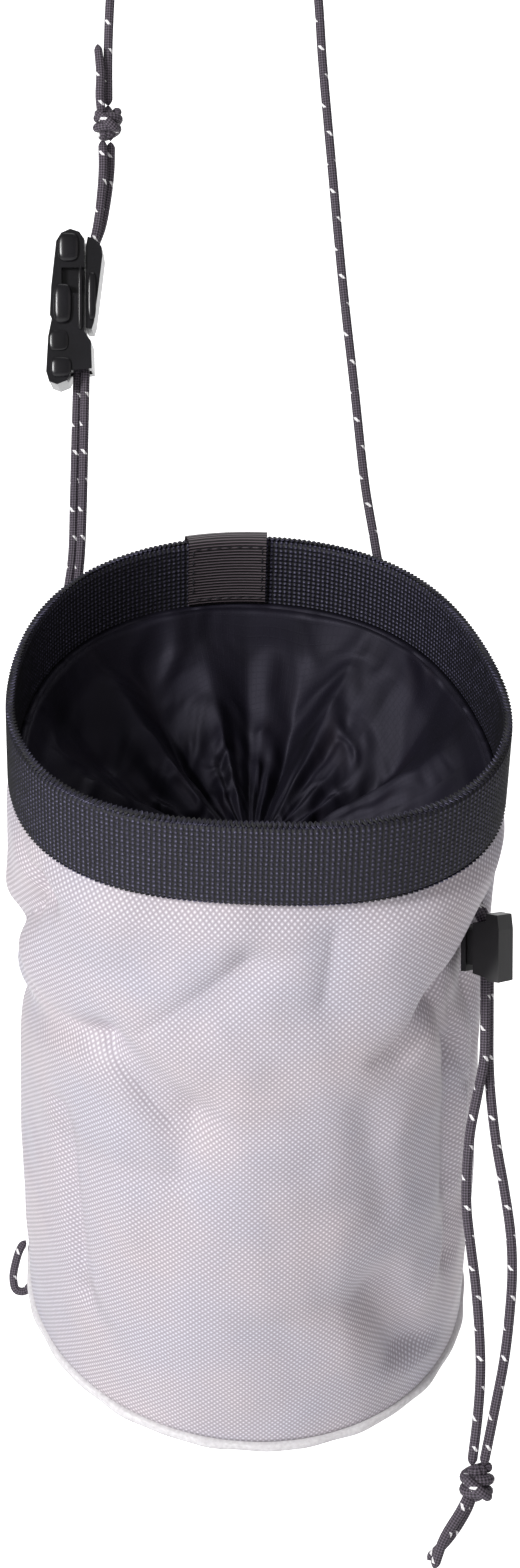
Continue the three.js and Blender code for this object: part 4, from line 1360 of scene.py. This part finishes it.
@dataclass
class CordRuns:
    """The belt cord, the doubled strands, the draw cord and the small loop, with their knots."""

    palette: Palette
    nodes: dict[str, Piece]
    belt: float = 2.3
    draw: float = 2.4
    small: float = 2.2
    cord_step: float = 0.55
    step: float = 0.5  # mm between the points of a knot's cord
    knot_sides: int = 12

    def tube(self, node: str, diameter: float) -> tuple[Piece, Grid]:
        """Builds one cord in place of its CAD tube.

        Args:
            node: Name of the CAD tube and key of its route.
            diameter: In millimetres.

        Returns:
            The piece and its middle line.
        """
        line = spline_points(CORD_ROUTES[node], self.cord_step)
        piece = braided_tube(f"{node}_braid", line, diameter)
        return dress(piece, self.palette.braid, "cord_braid", node), line

    def knot(
        self,
        name: str,
        node: str,
        middle: Point,
        diameter: float,
        tails: Sequence[Sequence[Point]],
        leads: Sequence[Sequence[Point]],
    ) -> Piece:
        """Builds a tied knot: wraps of cord round a crossing core, with the tails that leave it.

        Args:
            name: Piece name.
            node: CAD node that it replaces.
            middle: Its place in millimetres.
            diameter: Cord diameter.
            tails: Routes of the cut ends, from the knot's middle.
            leads: Routes from the knot's cords to just outside its middle.

        Returns:
            The knot as one piece.
        """
        turn = np.linspace(0, 2 * math.pi * 2.4, 110)
        rise = np.linspace(1.25, -1.25, len(turn)) * diameter
        reach = diameter * (1.12 + 0.1 * np.sin(1.3 * turn))
        coil = np.stack([reach * np.cos(turn), reach * np.sin(turn), rise + 0.18 * reach * np.cos(turn)], -1)
        over = np.array([(-1.25, -1.2, 1.0), (-0.6, -1.75, 0.4), (0.4, -1.8, -0.4), (1.3, -1.1, -1.1)])
        core = [(0, 0, 1.7 * diameter), (0.2, 0, 0), (0, 0, -1.7 * diameter)]
        runs = [
            ("coil", coil, 1.0, 0.0),
            ("over", spline_points(over * diameter, self.step), 0.95, 0.0),
            ("core", spline_points(core, self.step), 1.5, 0.0),
        ]
        for k, route in enumerate(leads):
            runs.append((f"lead{k}", spline_points([*route, (0, 0, 0)], self.step), 1.0, 0.0))
        for k, route in enumerate(tails):
            runs.append((f"tail{k}", spline_points(route, self.step), 1.0, 0.12))
        parts = [
            braided_tube(f"{name}_{run}", line + np.array(middle), diameter * share, self.knot_sides, ease)
            for run, line, share, ease in runs
        ]
        return dress(joined(name, parts), self.palette.braid, "cord_braid", node)

    def build_knots(self) -> tuple[Piece, Piece, Piece]:
        """Builds the knots.

        Returns:
            The belt's upper knot, the one behind the rim and the draw cord's.
        """
        upper = self.knot(
            "belt_knot_tied", "belt_knot", (-26.9, 0, -73.9), self.belt,
            tails=[[(-1.2, -1.6, 1), (-1.7, -2.4, 6), (-1.6, -2.3, 12), (-2.3, -2.0, 19.5)]],
            leads=[
                [(0.2, 0, 4.6), (0.2, 0, 2)],
                [(-1.0, -0.9, -4.2), (-0.8, -0.6, -2)],
                [(0.8, 1.3, -4.2), (0.5, 1, -2)],
            ],
        )
        back = self.knot(
            "back_knot_tied", "belt_back_knot", (-35.7, -3.3, -197.5), self.belt * 0.92,
            tails=[],
            leads=[[(1.1, 1.0, 4.2), (0.6, 0.6, 2)], [(-1.1, 0.7, 4.2), (-0.5, 0.4, 2)]],
        )
        draw = self.knot(
            "draw_knot_tied", "draw_knot", (63, -37, -406.6), self.draw * 1.08,
            tails=[
                [(-1.5, -1, -2), (-3.6, -1.3, -6), (-7.8, -1.3, -13), (-10.2, -1.2, -20)],
                [(-0.6, 1, -2), (-2.2, 1.2, -6.5), (-6.6, 1.3, -13.5), (-11.6, 1.2, -18.6)],
            ],
            leads=[[(-1.1, 0, 4.4), (-0.8, 0, 2)], [(1.6, 0, 4.4), (1.2, 0, 2)]],
        )
        return upper, back, draw

    def build(self) -> None:
        belt, belt_line = self.tube("belt_cord", self.belt)
        uppers = [self.tube(node, self.belt) for node in ("belt_upper_front", "belt_upper_rear")]
        lowers = [self.tube(node, self.belt) for node in ("belt_lower_front", "belt_lower_rear")]
        draws = [self.tube(node, self.draw) for node in ("draw_cord_left", "draw_cord_right")]
        self.tube("brush_loop", self.small)
        upper_knot, back_knot, draw_knot = self.build_knots()


@dataclass
class HardPieces:
    """The black plastic buckle and cord lock, whose solids stay and get softened edges."""

    palette: Palette
    nodes: dict[str, Piece]

    def build(self) -> None:
        """Dresses the four moulded pieces."""
        keep_node(self.nodes["buckle_hook"], self.palette.glossy, 0.45)
        keep_node(self.nodes["buckle_frame"], self.palette.glossy, 0.4)
        keep_node(self.nodes["lock_body"], self.palette.satin, 0.35)
        keep_node(self.nodes["lock_plunger"], self.palette.satin, 0.3)
        self.build_relief()

    def build_relief(self) -> None:
        """Builds the rounded forms that stand out on the buckle's near side."""
        pads = [
            self.pad("nose", (-37.6, -7.0, -120.4), (2.3, 1.5, 5.0)),
            self.pad("crown", (-36.2, -7.0, -106.4), (2.6, 1.1, 3.6)),
            self.pad("foot", (-38.0, -7.0, -136.2), (2.6, 0.9, 2.5)),
            self.pad("panel", (-38.6, -7.0, -129.6), (2.4, 0.6, 2.6)),
            self.pad("spine", (-33.2, -7.0, -119.0), (0.55, 1.0, 8.0)),
            self.pad("bar", (-30.4, -6.0, -118.4), (1.1, 1.0, 6.0)),
        ]
        dress(joined("buckle_relief", pads), self.palette.glossy, "buckle_plastic")

    def pad(self, name: str, middle: Point, half: Point) -> Piece:
        """Builds one block with strongly rounded sides.

        Args:
            name: Its name until it is joined.
            middle: Its middle in millimetres.
            half: Half sizes in millimetres.

        Returns:
            The block.
        """
        rise = np.linspace(-math.pi / 2, math.pi / 2, 18)[:, None]
        turn = np.linspace(0, 2 * math.pi, 32, endpoint=False)[None]
        bulge = [np.cos(rise) * np.cos(turn), np.cos(rise) * np.sin(turn), np.sin(rise) * np.ones_like(turn)]
        shape = np.stack([h * np.sign(b) * np.abs(b) ** 0.6 for h, b in zip(half, bulge)], -1)
        shape[0, :, :2] *= 0.02
        return surface(name, shape + np.array(middle), np.arange(33) * 0.5, np.arange(18) * 0.5, tube=False)


@dataclass(frozen=True)
class Lamp:
    """One square soft light, with its place and side in metres and its power in watts."""

    name: str
    place: Point
    side: float
    power: float
    tint: str = "ffffff"


@dataclass
class Studio:
    """Camera, lights and the pale sweep behind the bag."""

    focal: float = 2795 / 1568 * 36  # mm; 2795 of the photo's pixels, 1568 of which fill the 36 mm frame
    eye: Point = (11.5, -702.7, -240.0)
    aim: Point = (0.01, 0.0, -0.28)  # metres
    lamps: tuple[Lamp, ...] = (
        Lamp("key", (-0.9, -1.2, 0.06), 0.36, 20.5),
        Lamp("top", (0.1, -0.1, 1.1), 0.9, 4),
        Lamp("fill", (1.2, -1.0, -0.1), 1.2, 1.4, "fff4f4"),
    )
    sweep_radius: float = 900
    floor_level: float = -750
    floor_glow: float = 0.1
    sweep_glow: float = 0.85
    daylight: float = 0.24

    def build_camera(self) -> None:
        """Creates the camera at the photograph's place."""
        data = bpy.data.cameras.new("camera")
        data.sensor_width = 36
        data.sensor_fit = "AUTO"
        data.lens = self.focal
        data.clip_end = 20
        made = add_object("camera", data)
        made.location = Vector(self.eye) * MM
        made.rotation_euler = Euler((math.radians(90), 0, 0))
        bpy.context.scene.camera = made

    def build_lamps(self) -> None:
        """Creates the lights, each turned to face the bag."""
        for lamp in self.lamps:
            data = bpy.data.lights.new(lamp.name, "AREA")
            data.size = lamp.side
            data.energy = lamp.power
            data.color = linear(lamp.tint)[:3]
            made = add_object(lamp.name, data)
            made.location = lamp.place
            facing = (Vector(self.aim) - Vector(lamp.place)).to_track_quat("-Z", "Y")
            made.rotation_euler = facing.to_euler()

    def build_sweep(self) -> None:
        """Creates the pale floor and the glowing paper that curves up behind the bag."""
        radius, level = self.sweep_radius, self.floor_level
        curve = [
            (radius + radius * math.sin(t), level + radius - radius * math.cos(t))
            for t in np.linspace(0, math.pi / 2, 15)
        ]
        for name, half, glow, profile in (
            ("floor", 3000.0, self.floor_glow, [(-3000.0, level), (-1000.0, level), (radius, level)]),
            ("sweep", 1100.0, self.sweep_glow, [*curve, (2 * radius, 3500.0)]),
        ):
            points = np.array([[(x, y, z) for x in (-half, 0.0, half)] for y, z in profile])
            along = np.arange(float(len(profile)))
            sheet = surface(name, points, np.arange(3.0), along, ring=False, tube=False)
            paint(sheet, StudioPaper(f"{name}_paper", glow).material())

    def build_world(self) -> None:
        """Fills the studio with soft white light."""
        world = bpy.data.worlds.new("studio")
        world.use_nodes = True
        ground = world.node_tree.nodes["Background"]
        ground.inputs["Color"].default_value = linear("ffffff")
        ground.inputs["Strength"].default_value = self.daylight
        bpy.context.scene.world = world
        bpy.context.scene.view_settings.view_transform = "Standard"

    def build(self) -> None:
        """Builds the lights, the sweep and the world."""
        self.build_lamps()
        self.build_sweep()
        self.build_world()


def main() -> None:
    """Builds the studio and every sub-assembly in order."""
    logging.basicConfig(level=logging.INFO, format="%(message)s")
    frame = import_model()
    studio = Studio()
    studio.build_camera()
    form, palette = BagForm(), Palette()
    CordRuns(palette, frame["nodes"]).build()
    ClothBody(form, palette).build()
    RimSet(form, palette).build()
    Lining(form, palette).build()
    HardPieces(palette, frame["nodes"]).build()
    studio.build()


if __name__ == "__main__":
    main()
